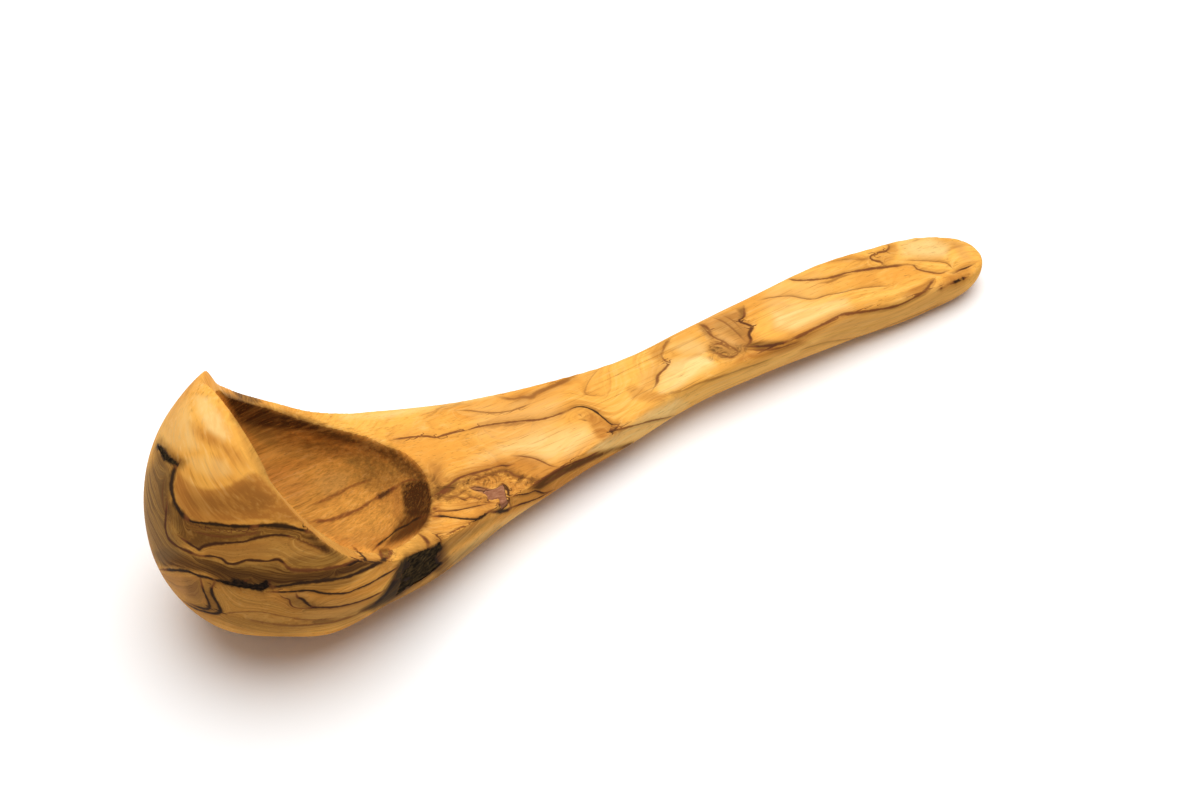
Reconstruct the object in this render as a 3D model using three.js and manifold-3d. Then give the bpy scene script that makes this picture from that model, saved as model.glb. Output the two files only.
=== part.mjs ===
// One-piece carved wooden ladle with its knot filler and ingrown bark, lying as it rests on a table.
// Millimetres, +Z up, +X towards the end of the handle, the mirror plane of the ladle at Y = 0.
import * as THREE from 'three';
import { mergeVertices } from 'three/addons/utils/BufferGeometryUtils.js';
import Module from 'manifold-3d';

const wasm = await Module();
wasm.setup();

// Bowl: an egg-shaped dome whose top is sawn away by a curve that sweeps down into the handle.
const bowlWidth = 77;
const bowlFrontReach = 39;
const bowlGirthHeight = 38.6;
const bowlCrownRise = 49;
const restFlat = 0.5;

// Wood left around the hollow, which is bored as one rounded cup.
const sideWall = 6;
const frontWall = 7.7;
const floorWall = 8;
const cupBackReach = 53.7;
const cupCentreHeight = 47.5;

// Handle: slightly arched, narrowest at the neck, leaning a little to -Y at its end, and measured
// from the bowl's centre.
const neckReach = 134;
const handleReach = 260.4;
const handleEndRound = 30;
const neckWidth = 21.2;
const handleWidth = 25;
const handleThickness = 15.4;
const handleSwell = 2;
const handleEndDrop = 4.2;
const handleFlankHeight = 10.6;
const handleCrownRise = 13;
const archRise = 6;
const handleLean = 1.6;

// The sawn curve over the mouth: its height above the bowl's centre, and the lip in front of that.
const mouthHeight = 60;
const lipReach = 8.9;
const lipRise = 24;

// How the bowl dies away towards the neck: the way to the neck, and the shares of the bowl's own
// width, girth, crown and mouth height that are left there, with the share of the arch gained.
const bowlToNeck = [
  { way: 0, width: 1, girth: 1, crown: 1, mouth: 1, arch: 0 },
  { way: 0.067, width: 0.982, girth: 0.926, crown: 0.944, mouth: 0.736, arch: 0.016 },
  { way: 0.157, width: 0.888, girth: 0.71, crown: 0.75, mouth: 0.503, arch: 0.11 },
  { way: 0.269, width: 0.728, girth: 0.375, crown: 0.472, mouth: 0.309, arch: 0.28 },
  { way: 0.41, width: 0.566, girth: 0.126, crown: 0.306, mouth: 0.16, arch: 0.54 },
  { way: 0.575, width: 0.38, girth: 0, crown: 0.167, mouth: 0.037, arch: 0.78 },
  { way: 0.776, width: 0.158, girth: 0, crown: 0.056, mouth: -0.004, arch: 0.87 },
];

// How the neck grows into the handle: the way to the rounded end, and the shares of the gain.
const neckToEnd = [
  { way: 0, width: 0, swell: 0, arch: 0.9, lean: 0 },
  { way: 0.34, width: 0.55, swell: 0.2, arch: 0.82, lean: 0 },
  { way: 0.68, width: 1, swell: 1, arch: 0.42, lean: 0.1 },
  { way: 1, width: 1, swell: 0.3, arch: 0, lean: 1 },
];

// The lip in front of the bowl's centre: shares of its reach and of its rise.
const lipSweep = [
  { reach: 1, rise: 1 },
  { reach: 0.977, rise: 0.75 },
  { reach: 0.607, rise: 0.408 },
];

// How square the billet is cut: 2 is an ellipse, and more is fuller at the corners.
const bowlSquareness = 2;
const crownSquareness = 2.3;
const handleSquareness = 2.6;
const endSquareness = 2.3;

// Putty plug in a knot hole that breaks out of the near edge of the neck. Outlines of this and of the
// pockets below are in shares of a length and a height.
const knotReach = 63.4;
const knotEdgeDistance = 5;
const knotDepth = 2.6;
const knotLength = 8;
const knotWidth = 7.4;
const knotOutline = [
  [-0.48, 0.38], [-0.19, 0.5], [0.23, 0.43], [0.49, 0.47], [0.53, 0.28], [0.41, -0.03], [0.28, -0.41],
  [0.28, -1.2], [-0.28, -1.2], [-0.18, -0.54], [-0.09, -0.3], [-0.33, -0.27], [-0.49, -0.16], [-0.44, 0.08],
];

// Ingrown bark and a filled seam let into the skin.
const flankBarkStart = 25;
const flankBarkLength = 25;
const flankBarkHeight = 25.5;
const flankBarkDepth = 2.6;
const frontSeamLength = 17;
const frontSeamHeight = 5.3;
const frontSeamDepth = 2.2;
const notchLength = 15.2;
const notchHeight = 9.6;
const notchDepth = 2.2;

// Where each pocket starts on the middle line, and the turn and lift, in degrees, of its way out.
const barkPockets = [
  {
    name: 'flank_bark',
    start: flankBarkStart,
    turn: -80,
    lift: 0,
    length: flankBarkLength,
    height: flankBarkHeight,
    depth: flankBarkDepth,
    outline: [
      [-0.48, -0.31], [-0.38, 0.12], [-0.22, 0.35], [-0.04, 0.63], [0.52, 0.63], [0.42, 0.16], [0.34, -0.04],
      [0.46, -0.27], [0.28, -0.35], [-0.08, -0.37], [-0.26, -0.31],
    ],
  },
  {
    name: 'front_seam_fill',
    start: 0,
    turn: -130.9,
    lift: 18.7,
    length: frontSeamLength,
    height: frontSeamHeight,
    depth: frontSeamDepth,
    outline: [
      [-0.52, -0.08], [-0.21, 0.3], [0.05, 0.25], [0.34, 0.28], [0.44, 0.55], [0.48, -0.11], [0.32, -0.45],
      [0.04, -0.32], [-0.26, -0.3],
    ],
  },
  {
    name: 'notch_bark',
    start: 0,
    turn: 160.7,
    lift: 48,
    length: notchLength,
    height: notchHeight,
    depth: notchDepth,
    outline: [
      [-0.53, -0.41], [-0.26, -0.06], [0.12, 0.23], [0.45, 0.53], [0.47, 0.35], [0.22, 0.05], [-0.06, -0.27],
      [-0.38, -0.47],
    ],
  },
];
const fillClearance = 0.3;

// How finely round surfaces are cut into facets.
const sectionSides = 44;
const domeRings = 15;
const billetRings = 34;
const endRings = 8;
const sawnSteps = 70;
const cupSides = 48;
const cupRings = 28;

const wood = new THREE.MeshStandardMaterial({ color: 0xc58a3e, roughness: 0.5, metalness: 0 });
const putty = new THREE.MeshStandardMaterial({ color: 0xb08a78, roughness: 0.85, metalness: 0 });
const bark = new THREE.MeshStandardMaterial({ color: 0x2a1a10, roughness: 0.95, metalness: 0 });

// Smooth curve through values at rising places, without overshoot between them.
function smoothThrough(places, values) {
  const slopes = places.map((place, i) => {
    if (i === 0 || i === places.length - 1) return 0;
    const before = (values[i] - values[i - 1]) / (place - places[i - 1]);
    const after = (values[i + 1] - values[i]) / (places[i + 1] - place);
    return before * after > 0 ? (2 * before * after) / (before + after) : 0;
  });
  return (at) => {
    let i = 0;
    while (i < places.length - 2 && at > places[i + 1]) i += 1;
    const span = places[i + 1] - places[i];
    const t = THREE.MathUtils.clamp((at - places[i]) / span, 0, 1);
    const rise = values[i + 1] - values[i];
    const lead = slopes[i] * span - rise;
    const trail = rise - slopes[i + 1] * span;
    return values[i] + t * rise + t * (1 - t) * ((1 - t) * lead + t * trail);
  };
}

// Stations along the billet, from the bowl's centre to where the handle's end starts to round.
const endStart = handleReach - handleEndRound;
const share = THREE.MathUtils.lerp;
const bowlStations = bowlToNeck.map((left) => {
  const keel = archRise * left.arch - restFlat;
  return {
    along: neckReach * left.way,
    half: share(neckWidth, bowlWidth, left.width) / 2,
    keel,
    girth: keel + share(handleFlankHeight, bowlGirthHeight + restFlat, left.girth),
    crown: share(handleCrownRise, bowlCrownRise, left.crown),
    lean: 0,
    top: keel + share(handleThickness, mouthHeight + restFlat, left.mouth),
  };
});
const handleStations = neckToEnd.map((gained) => {
  const keel = archRise * gained.arch - restFlat;
  return {
    along: share(neckReach, endStart, gained.way),
    half: share(neckWidth, handleWidth, gained.width) / 2,
    keel,
    girth: keel + handleFlankHeight,
    crown: handleCrownRise,
    lean: -handleLean * gained.lean,
    top: keel + handleThickness + handleSwell * gained.swell,
  };
});
const stations = [...bowlStations, ...handleStations];
const lastStation = stations[stations.length - 1];
const stationCurve = (key) => smoothThrough(stations.map((s) => s.along), stations.map((s) => s[key]));
const halfAt = stationCurve('half');
const keelAt = stationCurve('keel');
const girthAt = stationCurve('girth');
const crownAt = stationCurve('crown');
const topAt = stationCurve('top');
const leanAt = stationCurve('lean');
const undersideAt = smoothThrough(
  [0, neckReach / 3, endStart],
  [bowlSquareness, handleSquareness, handleSquareness],
);

// One cross-section of the billet, pared down by a skin and shrunk towards its widest line.
function section(along, place, shrink, skin) {
  const girth = girthAt(along);
  const ring = [];
  for (let i = 0; i < sectionSides; i += 1) {
    const turn = (2 * Math.PI * i) / sectionSides;
    const above = Math.sin(turn) > 0;
    const power = 2 / (above ? crownSquareness : undersideAt(along));
    const across = Math.sign(Math.cos(turn)) * Math.abs(Math.cos(turn)) ** power;
    const upward = Math.sign(Math.sin(turn)) * Math.abs(Math.sin(turn)) ** power;
    const half = halfAt(along) - skin;
    const reach = (above ? crownAt(along) : girth - keelAt(along)) - skin;
    const side = leanAt(along) + shrink * half * across;
    ring.push(new THREE.Vector3(place, side, girth + shrink * reach * upward));
  }
  return ring;
}

// Skin over a row of rings, closed by a point at each end.
function loft(rings, startPoint, endPoint) {
  const corners = [startPoint, ...rings.flat(), endPoint];
  const last = corners.length - 1;
  const sides = rings[0].length;
  const faces = [];
  const corner = (ring, side) => 1 + ring * sides + (side % sides);
  for (let side = 0; side < sides; side += 1) {
    faces.push(0, corner(0, side + 1), corner(0, side));
    for (let ring = 0; ring < rings.length - 1; ring += 1) {
      const a = corner(ring, side);
      const b = corner(ring, side + 1);
      const c = corner(ring + 1, side + 1);
      const d = corner(ring + 1, side);
      faces.push(a, b, c, a, c, d);
    }
    faces.push(last, corner(rings.length - 1, side), corner(rings.length - 1, side + 1));
  }
  const geometry = new THREE.BufferGeometry().setFromPoints(corners);
  geometry.setIndex(faces);
  return geometry;
}

function solid(geometry) {
  const bare = geometry.clone();
  bare.deleteAttribute('normal');
  bare.deleteAttribute('uv');
  const merged = mergeVertices(bare, 1e-4);
  return new wasm.Manifold(new wasm.Mesh({
    numProp: 3,
    vertProperties: new Float32Array(merged.attributes.position.array),
    triVerts: new Uint32Array(merged.index.array),
  }));
}

function meshOf(name, manifold, material) {
  const cut = manifold.getMesh();
  const geometry = new THREE.BufferGeometry();
  geometry.setAttribute('position', new THREE.BufferAttribute(new Float32Array(cut.vertProperties), 3));
  geometry.setIndex([...cut.triVerts]);
  geometry.computeVertexNormals();
  const mesh = new THREE.Mesh(geometry, material);
  mesh.name = name;
  return mesh;
}

// The whole billet before it is sawn and bored, or the same with a skin pared off all round.
function billet(skin) {
  const rings = [];
  for (let i = 1; i <= domeRings; i += 1) {
    const turn = (Math.PI / 2) * (i / domeRings);
    rings.push(section(0, (skin - bowlFrontReach) * Math.cos(turn), Math.sin(turn), skin));
  }
  for (let i = 1; i <= billetRings; i += 1) {
    const along = (endStart * i) / billetRings;
    rings.push(section(along, along, 1, skin));
  }
  for (let i = 1; i < endRings; i += 1) {
    const turn = (Math.PI / 2) * (i / endRings);
    const place = endStart + (handleEndRound - skin) * Math.sin(turn) ** (2 / endSquareness);
    rings.push(section(endStart, place, Math.cos(turn) ** (2 / endSquareness), skin));
  }
  const nose = new THREE.Vector3(skin - bowlFrontReach, 0, bowlGirthHeight);
  const tip = new THREE.Vector3(handleReach - skin, lastStation.lean, lastStation.girth);
  return solid(loft(rings, nose, tip));
}

// Everything above the sawn curve, which runs from over the lip to past the end of the handle.
function sawnWaste() {
  const roof = bowlGirthHeight + bowlCrownRise + handleThickness;
  const lip = lipSweep.map(({ reach, rise }) => [-lipReach * reach, mouthHeight + lipRise * rise]);
  const sweep = stations.map(({ along, top }) => [along, top]);
  const past = [handleReach + handleEndRound, lastStation.top - 2 * handleEndDrop];
  const points = [[-lipReach, roof], ...lip, ...sweep, past].map(([x, z]) => new THREE.Vector2(x, z));
  const outline = new THREE.SplineCurve(points).getPoints(sawnSteps);
  outline.push(new THREE.Vector2(past[0], roof));
  const geometry = new THREE.ExtrudeGeometry(new THREE.Shape(outline), {
    depth: 2 * bowlWidth,
    bevelEnabled: false,
  });
  geometry.rotateX(Math.PI / 2).translate(0, bowlWidth, 0);
  return solid(geometry);
}

function cupWaste() {
  const length = bowlFrontReach - frontWall + cupBackReach;
  const geometry = new THREE.SphereGeometry(0.5, cupSides, cupRings);
  geometry.scale(length, bowlWidth - 2 * sideWall, 2 * (cupCentreHeight - floorWall));
  geometry.translate(cupBackReach - length / 2, 0, cupCentreHeight);
  return solid(geometry);
}

// What lies below the table, which leaves the small flats that the ladle rests on.
function tableWaste() {
  const geometry = new THREE.BoxGeometry(4 * handleReach, 2 * bowlWidth, 2 * bowlGirthHeight);
  geometry.translate(0, 0, -bowlGirthHeight);
  return solid(geometry);
}

// An outline at its size with every side moved inwards, corners kept sharp.
function inset(outline, length, height, distance) {
  const corners = outline.map(([x, y]) => new THREE.Vector2(x * length, y * height));
  const area = THREE.ShapeUtils.area(corners);
  return corners.map((corner, i) => {
    const before = corners[(i + corners.length - 1) % corners.length];
    const after = corners[(i + 1) % corners.length];
    const inward = [corner.clone().sub(before), after.clone().sub(corner)].map((side) => {
      const normal = new THREE.Vector2(-side.y, side.x).normalize();
      return area > 0 ? normal : normal.negate();
    });
    const middle = inward[0].clone().add(inward[1]).normalize();
    return corner.clone().addScaledVector(middle, distance / middle.dot(inward[0]));
  });
}

// A straight-sided core with the given outline, standing on a place and pointing along outward.
function core(corners, length, place, sideways, outward) {
  const upward = outward.clone().cross(sideways);
  const shape = new THREE.Shape(corners);
  const geometry = new THREE.ExtrudeGeometry(shape, { depth: length, bevelEnabled: false });
  geometry.applyMatrix4(new THREE.Matrix4().makeBasis(sideways, upward, outward).setPosition(place));
  return solid(geometry);
}

// The knot hole goes down from the sawn top, and the plug stops short of its sides and floor.
function knotCore(clearance) {
  const floor = topAt(knotReach) - knotDepth + clearance;
  const place = new THREE.Vector3(knotReach, knotEdgeDistance - halfAt(knotReach), floor);
  const sideways = new THREE.Vector3(1, 0, 0);
  const outline = inset(knotOutline, knotLength, knotWidth, clearance);
  return core(outline, bowlCrownRise, place, sideways, new THREE.Vector3(0, 0, 1));
}

// A bark pocket goes through the skin only, and the bark stops short of its sides and floor.
function pocketCore(pocket, clearance) {
  const turn = THREE.MathUtils.degToRad(pocket.turn);
  const lift = THREE.MathUtils.degToRad(pocket.lift);
  const sideways = new THREE.Vector3(-Math.sin(turn), Math.cos(turn), 0);
  const flat = new THREE.Vector3(Math.cos(turn), Math.sin(turn), 0);
  const outward = flat.multiplyScalar(Math.cos(lift)).setZ(Math.sin(lift));
  const place = new THREE.Vector3(pocket.start, 0, girthAt(pocket.start));
  const outline = inset(pocket.outline, pocket.length, pocket.height, clearance);
  const through = core(outline, bowlWidth, place, sideways, outward);
  return through.subtract(billet(pocket.depth - clearance));
}

const carved = billet(0).subtract(sawnWaste()).subtract(cupWaste()).subtract(tableWaste());

// The origin is on the table, under the middle of the ladle's length.
const ladle = new THREE.Group();
ladle.position.x = (bowlFrontReach - handleReach) / 2;

let body = carved.subtract(knotCore(0));
ladle.add(meshOf('knot_filler', carved.intersect(knotCore(fillClearance)), putty));
for (const pocket of barkPockets) {
  body = body.subtract(pocketCore(pocket, 0));
  ladle.add(meshOf(pocket.name, carved.intersect(pocketCore(pocket, fillClearance)), bark));
}
ladle.add(meshOf('ladle_body', body, wood));

export default ladle;
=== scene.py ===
import math

import bpy
import numpy as np
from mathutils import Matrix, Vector
from mathutils.bvhtree import BVHTree
from mathutils.kdtree import KDTree


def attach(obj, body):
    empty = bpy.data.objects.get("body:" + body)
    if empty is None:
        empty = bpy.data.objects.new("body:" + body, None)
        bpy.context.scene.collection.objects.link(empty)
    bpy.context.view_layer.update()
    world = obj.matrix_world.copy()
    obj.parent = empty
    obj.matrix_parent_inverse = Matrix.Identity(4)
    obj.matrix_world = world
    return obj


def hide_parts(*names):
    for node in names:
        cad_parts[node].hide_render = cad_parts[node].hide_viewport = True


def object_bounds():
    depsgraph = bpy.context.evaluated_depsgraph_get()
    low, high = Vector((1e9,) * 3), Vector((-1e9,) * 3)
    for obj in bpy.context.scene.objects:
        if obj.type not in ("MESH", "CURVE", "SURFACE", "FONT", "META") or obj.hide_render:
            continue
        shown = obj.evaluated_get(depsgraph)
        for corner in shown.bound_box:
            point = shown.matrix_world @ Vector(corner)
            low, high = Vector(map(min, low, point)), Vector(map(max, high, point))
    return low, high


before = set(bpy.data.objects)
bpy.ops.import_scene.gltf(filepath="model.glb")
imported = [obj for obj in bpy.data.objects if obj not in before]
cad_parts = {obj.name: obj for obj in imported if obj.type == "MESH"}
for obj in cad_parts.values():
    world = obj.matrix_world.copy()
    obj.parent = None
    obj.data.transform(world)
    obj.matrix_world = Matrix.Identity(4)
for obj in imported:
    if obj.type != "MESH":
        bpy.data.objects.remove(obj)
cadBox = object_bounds()
mm = 0.001


# Small helpers for modelling

def deselectAll():
    if bpy.context.object and bpy.context.object.mode != "OBJECT":
        bpy.ops.object.mode_set(mode="OBJECT")
    bpy.ops.object.select_all(action="DESELECT")


def makeActive(piece):
    deselectAll()
    piece.select_set(True)
    bpy.context.view_layer.objects.active = piece


def applyModifier(piece, kind, **settings):
    makeActive(piece)
    modifier = piece.modifiers.new(kind.lower(), kind)
    for key, value in settings.items():
        setattr(modifier, key, value)
    bpy.ops.object.modifier_apply(modifier=modifier.name)


def relax(piece, rounds, **settings):
    applyModifier(piece, "SMOOTH", factor=0.5, iterations=rounds, **settings)


def cutWith(piece, cutter, operation="DIFFERENCE"):
    applyModifier(piece, "BOOLEAN", object=cutter, operation=operation, solver="EXACT")
    bpy.data.objects.remove(cutter)


def vertexValues(mesh, kind):
    values = np.zeros(len(mesh.vertices) * 3)
    mesh.vertices.foreach_get(kind, values)
    return values.reshape(-1, 3)


def vertexPlaces(mesh):
    return vertexValues(mesh, "co")


def moveVertices(mesh, places):
    mesh.vertices.foreach_set("co", places.ravel())
    mesh.update()


def smoothStep(low, high, values):
    share = np.clip((values - low) / (high - low), 0, 1)
    return share * share * (3 - 2 * share)


# Sizes of the carved billet, in millimetres from the bowl's centre
billet = {
    "bowlWidth": 77, "frontReach": 39, "girthHeight": 38.6, "crownRise": 49, "restFlat": 0.5,
    "neckReach": 134, "handleReach": 260.4, "endRound": 30,
    "neckWidth": 21.2, "handleWidth": 25, "handleThickness": 15.4, "handleSwell": 2, "endDrop": 4.2,
    "flankHeight": 10.6, "handleCrown": 13, "archRise": 6, "handleLean": 1.6,
    "mouthHeight": 60, "lipReach": 8.9, "lipRise": 24,
    "bowlSquareness": 2, "crownSquareness": 2.3, "handleSquareness": 2.6, "endSquareness": 2.3,
    "sides": 144, "domeRings": 60, "billetRings": 170, "endRings": 40,
    "meshDepth": 9, "meshScale": 0.67, "smoothing": 2,
}

# Shares of the bowl's size left on the way to the neck: way, width, girth, crown, mouth, arch
bowlToNeck = [
    (0, 1, 1, 1, 1, 0),
    (0.067, 0.982, 0.926, 0.944, 0.736, 0.016),
    (0.157, 0.888, 0.71, 0.75, 0.503, 0.11),
    (0.269, 0.728, 0.375, 0.472, 0.309, 0.28),
    (0.41, 0.566, 0.126, 0.306, 0.16, 0.54),
    (0.575, 0.38, 0, 0.167, 0.037, 0.78),
    (0.776, 0.158, 0, 0.056, -0.004, 0.87),
]

# Shares of the handle's size gained on the way to its round end: way, width, swell, arch, lean
neckToEnd = [
    (0, 0, 0, 0.9, 0),
    (0.34, 0.55, 0.2, 0.82, 0),
    (0.68, 1, 1, 0.42, 0.1),
    (1, 1, 0.3, 0, 1),
]
lipSweep = [(1, 1), (0.977, 0.75), (0.607, 0.408)]  # shares of the lip's reach and rise

endStart = billet["handleReach"] - billet["endRound"]
bowlCentre = Vector((cadBox[0][0] + billet["frontReach"] * mm, 0, 0))


def between(low, high, share):
    return low + (high - low) * share


def smoothThrough(places, values):  # smooth curve with no overshoot between the given values
    slopes = [0.0] * len(places)
    for i in range(1, len(places) - 1):
        before = (values[i] - values[i - 1]) / (places[i] - places[i - 1])
        after = (values[i + 1] - values[i]) / (places[i + 1] - places[i])
        if before * after > 0:
            slopes[i] = 2 * before * after / (before + after)

    def curve(at):
        i = 0
        while i < len(places) - 2 and at > places[i + 1]:
            i += 1
        span = places[i + 1] - places[i]
        t = min(max((at - places[i]) / span, 0), 1)
        rise = values[i + 1] - values[i]
        lead = slopes[i] * span - rise
        trail = rise - slopes[i + 1] * span
        return values[i] + t * rise + t * (1 - t) * ((1 - t) * lead + t * trail)
    return curve


def billetStations():
    b = billet
    stations = []
    for way, width, girth, crown, mouth, arch in bowlToNeck:
        keel = b["archRise"] * arch - b["restFlat"]
        stations.append({
            "along": b["neckReach"] * way,
            "half": between(b["neckWidth"], b["bowlWidth"], width) / 2,
            "keel": keel,
            "girth": keel + between(b["flankHeight"], b["girthHeight"] + b["restFlat"], girth),
            "crown": between(b["handleCrown"], b["crownRise"], crown),
            "lean": 0,
            "top": keel + between(b["handleThickness"], b["mouthHeight"] + b["restFlat"], mouth),
        })
    for way, width, swell, arch, lean in neckToEnd:
        keel = b["archRise"] * arch - b["restFlat"]
        stations.append({
            "along": between(b["neckReach"], endStart, way),
            "half": between(b["neckWidth"], b["handleWidth"], width) / 2,
            "keel": keel,
            "girth": keel + b["flankHeight"],
            "crown": b["handleCrown"],
            "lean": -b["handleLean"] * lean,
            "top": keel + b["handleThickness"] + b["handleSwell"] * swell,
        })
    return stations


stations = billetStations()
stationCurves = {
    key: smoothThrough([s["along"] for s in stations], [s[key] for s in stations])
    for key in ("half", "keel", "girth", "crown", "lean", "top")
}
undersideCurve = smoothThrough(
    [0, billet["neckReach"] / 3, endStart],
    [billet["bowlSquareness"], billet["handleSquareness"], billet["handleSquareness"]],
)


def signedPower(value, power):
    return math.copysign(abs(value) ** power, value)


def billetRing(index):  # where ring number index lies, from the handle's tip to the bowl's nose
    b = billet
    if index <= b["endRings"]:
        turn = math.pi / 2 * (1 - index / b["endRings"])
        power = 2 / b["endSquareness"]
        return endStart, endStart + b["endRound"] * math.sin(turn) ** power, math.cos(turn) ** power
    index -= b["endRings"]
    if index <= b["billetRings"]:
        along = endStart * (1 - index / b["billetRings"])
        return along, along, 1
    turn = math.pi / 2 * (1 - (index - b["billetRings"]) / b["domeRings"])
    return 0, -b["frontReach"] * math.cos(turn), math.sin(turn)


def shapeBillet():  # a ball drawn out over the billet's sections
    b = billet
    rings = b["endRings"] + b["billetRings"] + b["domeRings"]
    deselectAll()
    bpy.ops.mesh.primitive_uv_sphere_add(segments=b["sides"], ring_count=rings, radius=1)
    piece = bpy.context.object
    piece.name = "carvedBody"
    sections = []
    for index in range(rings + 1):
        along, place, shrink = billetRing(index)
        sizes = {key: curve(along) for key, curve in stationCurves.items()}
        sections.append((place, shrink, undersideCurve(along), sizes))
    for vertex in piece.data.vertices:
        x, y, z = vertex.co
        index = round(math.acos(max(-1, min(1, z))) / math.pi * rings)
        place, shrink, underside, size = sections[index]
        around = math.hypot(x, y)
        cosine, sine = (x / around, y / around) if around > 1e-6 else (0, 0)
        power = 2 / (b["crownSquareness"] if sine > 0 else underside)
        reach = size["crown"] if sine > 0 else size["girth"] - size["keel"]
        side = size["lean"] + shrink * size["half"] * signedPower(cosine, power)
        height = size["girth"] + shrink * reach * signedPower(sine, power)
        vertex.co = bowlCentre + Vector((place, side, max(height, 0))) * mm
    return piece


def splinePoints(points, steps):  # evenly stepped smooth curve through the points
    last = len(points) - 1
    made = []
    for step in range(steps + 1):
        at = step / steps * last
        i = min(int(at), last - 1)
        t = at - i
        p0, p1, p2, p3 = (np.array(points[min(max(i + k, 0), last)], float) for k in (-1, 0, 1, 2))
        bend = p1 * 2 + (p2 - p0) * t + (p0 * 2 - p1 * 5 + p2 * 4 - p3) * t ** 2
        made.append((bend + (p1 * 3 - p0 - p2 * 3 + p3) * t ** 3) / 2)
    return made


def extrudeOutline(corners, along):  # a face through the corners, pulled out into a block
    deselectAll()
    bpy.ops.mesh.primitive_circle_add(vertices=len(corners), fill_type="NGON")
    piece = bpy.context.object
    for vertex, corner in zip(piece.data.vertices, corners):
        vertex.co = corner
    bpy.ops.object.mode_set(mode="EDIT")
    bpy.ops.mesh.select_all(action="SELECT")
    bpy.ops.mesh.extrude_region_move(TRANSFORM_OT_translate={"value": along})
    bpy.ops.mesh.select_all(action="SELECT")
    bpy.ops.mesh.normals_make_consistent(inside=False)
    bpy.ops.object.mode_set(mode="OBJECT")
    return piece


sawCut = {"steps": 150}  # points along the sawn curve


def sawnWaste():  # all that lies above the sawn curve of the mouth and the handle's top
    b = billet
    roof = b["girthHeight"] + b["crownRise"] + b["handleThickness"]
    lip = [(-b["lipReach"] * reach, b["mouthHeight"] + b["lipRise"] * rise) for reach, rise in lipSweep]
    sweep = [(s["along"], s["top"]) for s in stations]
    past = (b["handleReach"] + b["endRound"], stations[-1]["top"] - 2 * b["endDrop"])
    outline = splinePoints([(-b["lipReach"], roof)] + lip + sweep + [past], sawCut["steps"])
    outline.append((past[0], roof))
    corners = [bowlCentre + Vector((x, -b["bowlWidth"], z)) * mm for x, z in outline]
    return extrudeOutline(corners, (0, 2 * b["bowlWidth"] * mm, 0))


# Hollow of the bowl, in millimetres from the bowl's centre
cup = {"centre": (11.2, 0, 47.5), "radii": (42.5, 32.5, 39.5), "sides": 160, "rings": 110}


def cupWaste():
    deselectAll()
    bpy.ops.mesh.primitive_uv_sphere_add(segments=cup["sides"], ring_count=cup["rings"], radius=1)
    piece = bpy.context.object
    centre = bowlCentre + Vector(cup["centre"]) * mm
    for vertex in piece.data.vertices:
        vertex.co = centre + Vector([c * r * mm for c, r in zip(vertex.co, cup["radii"])])
    return piece


# Where the carver's hand left the plain form: place, push and reach in millimetres from the bowl's centre
handMarks = {
    "lipPoint": {"place": (-4.5, 31, 70.5), "push": (1.5, 0, 2.8), "reach": (15, 15, 15)},
    "rimBack": {"place": (24, 29, 36), "push": (-0.5, -2.2, 0), "reach": (14, 9, 14)},
    "rimMiddle": {"place": (34, 24, 31), "push": (-0.5, -2.2, 0), "reach": (14, 9, 14)},
    "rimRear": {"place": (43, 15, 28), "push": (-0.8, -2, 0), "reach": (14, 9, 14)},
    "bowlFoot": {"place": (-18, -26, 15), "push": (0, 1.2, 0.6), "reach": (22, 16, 20)},
    "bowlHeel": {"place": (2, -31, 15.5), "push": (0, -1.6, -0.6), "reach": (18, 12, 18)},
    "neckTuck": {"place": (66, -22.5, 10), "push": (0, 2.1, 0), "reach": (38, 16, 26)},
    "neckFill": {"place": (121, -10.5, 9), "push": (0, -2.1, 0), "reach": (32, 13, 22)},
    "handleBack": {"place": (158, 11, 16), "push": (0, 1.2, 0.2), "reach": (70, 15, 22)},
    "handleSwell": {"place": (218, 10.4, 17.5), "push": (0, 2.5, 0.4), "reach": (46, 15, 22)},
    "endLean": {"place": (252, -6, 8), "push": (0, -2.3, -0.5), "reach": (22, 20, 22)},
}
softHandle = {"from": 98, "to": 124, "smoothing": 26}  # edges rounded from the neck on


def shapeByHand(piece):
    places = vertexPlaces(piece.data)
    for mark in handMarks.values():
        away = (places - np.array(bowlCentre)) / mm - np.array(mark["place"])
        share = 1 - smoothStep(0, 1, np.linalg.norm(away / np.array(mark["reach"]), axis=1))
        places += share[:, None] * np.array(mark["push"]) * mm
    moveVertices(piece.data, places)


def roundHandle(piece):
    along = (vertexPlaces(piece.data)[:, 0] - bowlCentre.x) / mm
    group = piece.vertex_groups.new(name="handle")
    for i, weight in enumerate(smoothStep(softHandle["from"], softHandle["to"], along)):
        if weight > 0:
            group.add([i], weight, "REPLACE")
    relax(piece, softHandle["smoothing"], vertex_group="handle")
    piece.vertex_groups.clear()


def setDown(piece):  # nothing below the table
    places = vertexPlaces(piece.data)
    places[:, 2] = np.maximum(places[:, 2], cadBox[0][2])
    moveVertices(piece.data, places)


def carveBody():
    piece = shapeBillet()
    cutWith(piece, sawnWaste())
    cutWith(piece, cupWaste())
    applyModifier(piece, "REMESH", mode="SHARP", octree_depth=billet["meshDepth"], scale=billet["meshScale"])
    shapeByHand(piece)
    relax(piece, billet["smoothing"])
    roundHandle(piece)
    setDown(piece)
    return piece


body = carveBody()
print("body carved:", len(body.data.vertices), "points")


# Camera of the photograph: millimetres from the bowl's centre, degrees, pixels of a 1200 by 800 frame
viewpoint = {"place": (-172.0, -457.7, 641.0), "elevation": 49.08, "azimuth": -31.82,
             "focal": 2600, "frame": (1200, 800), "sensor": 36, "nearest": 10}


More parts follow.
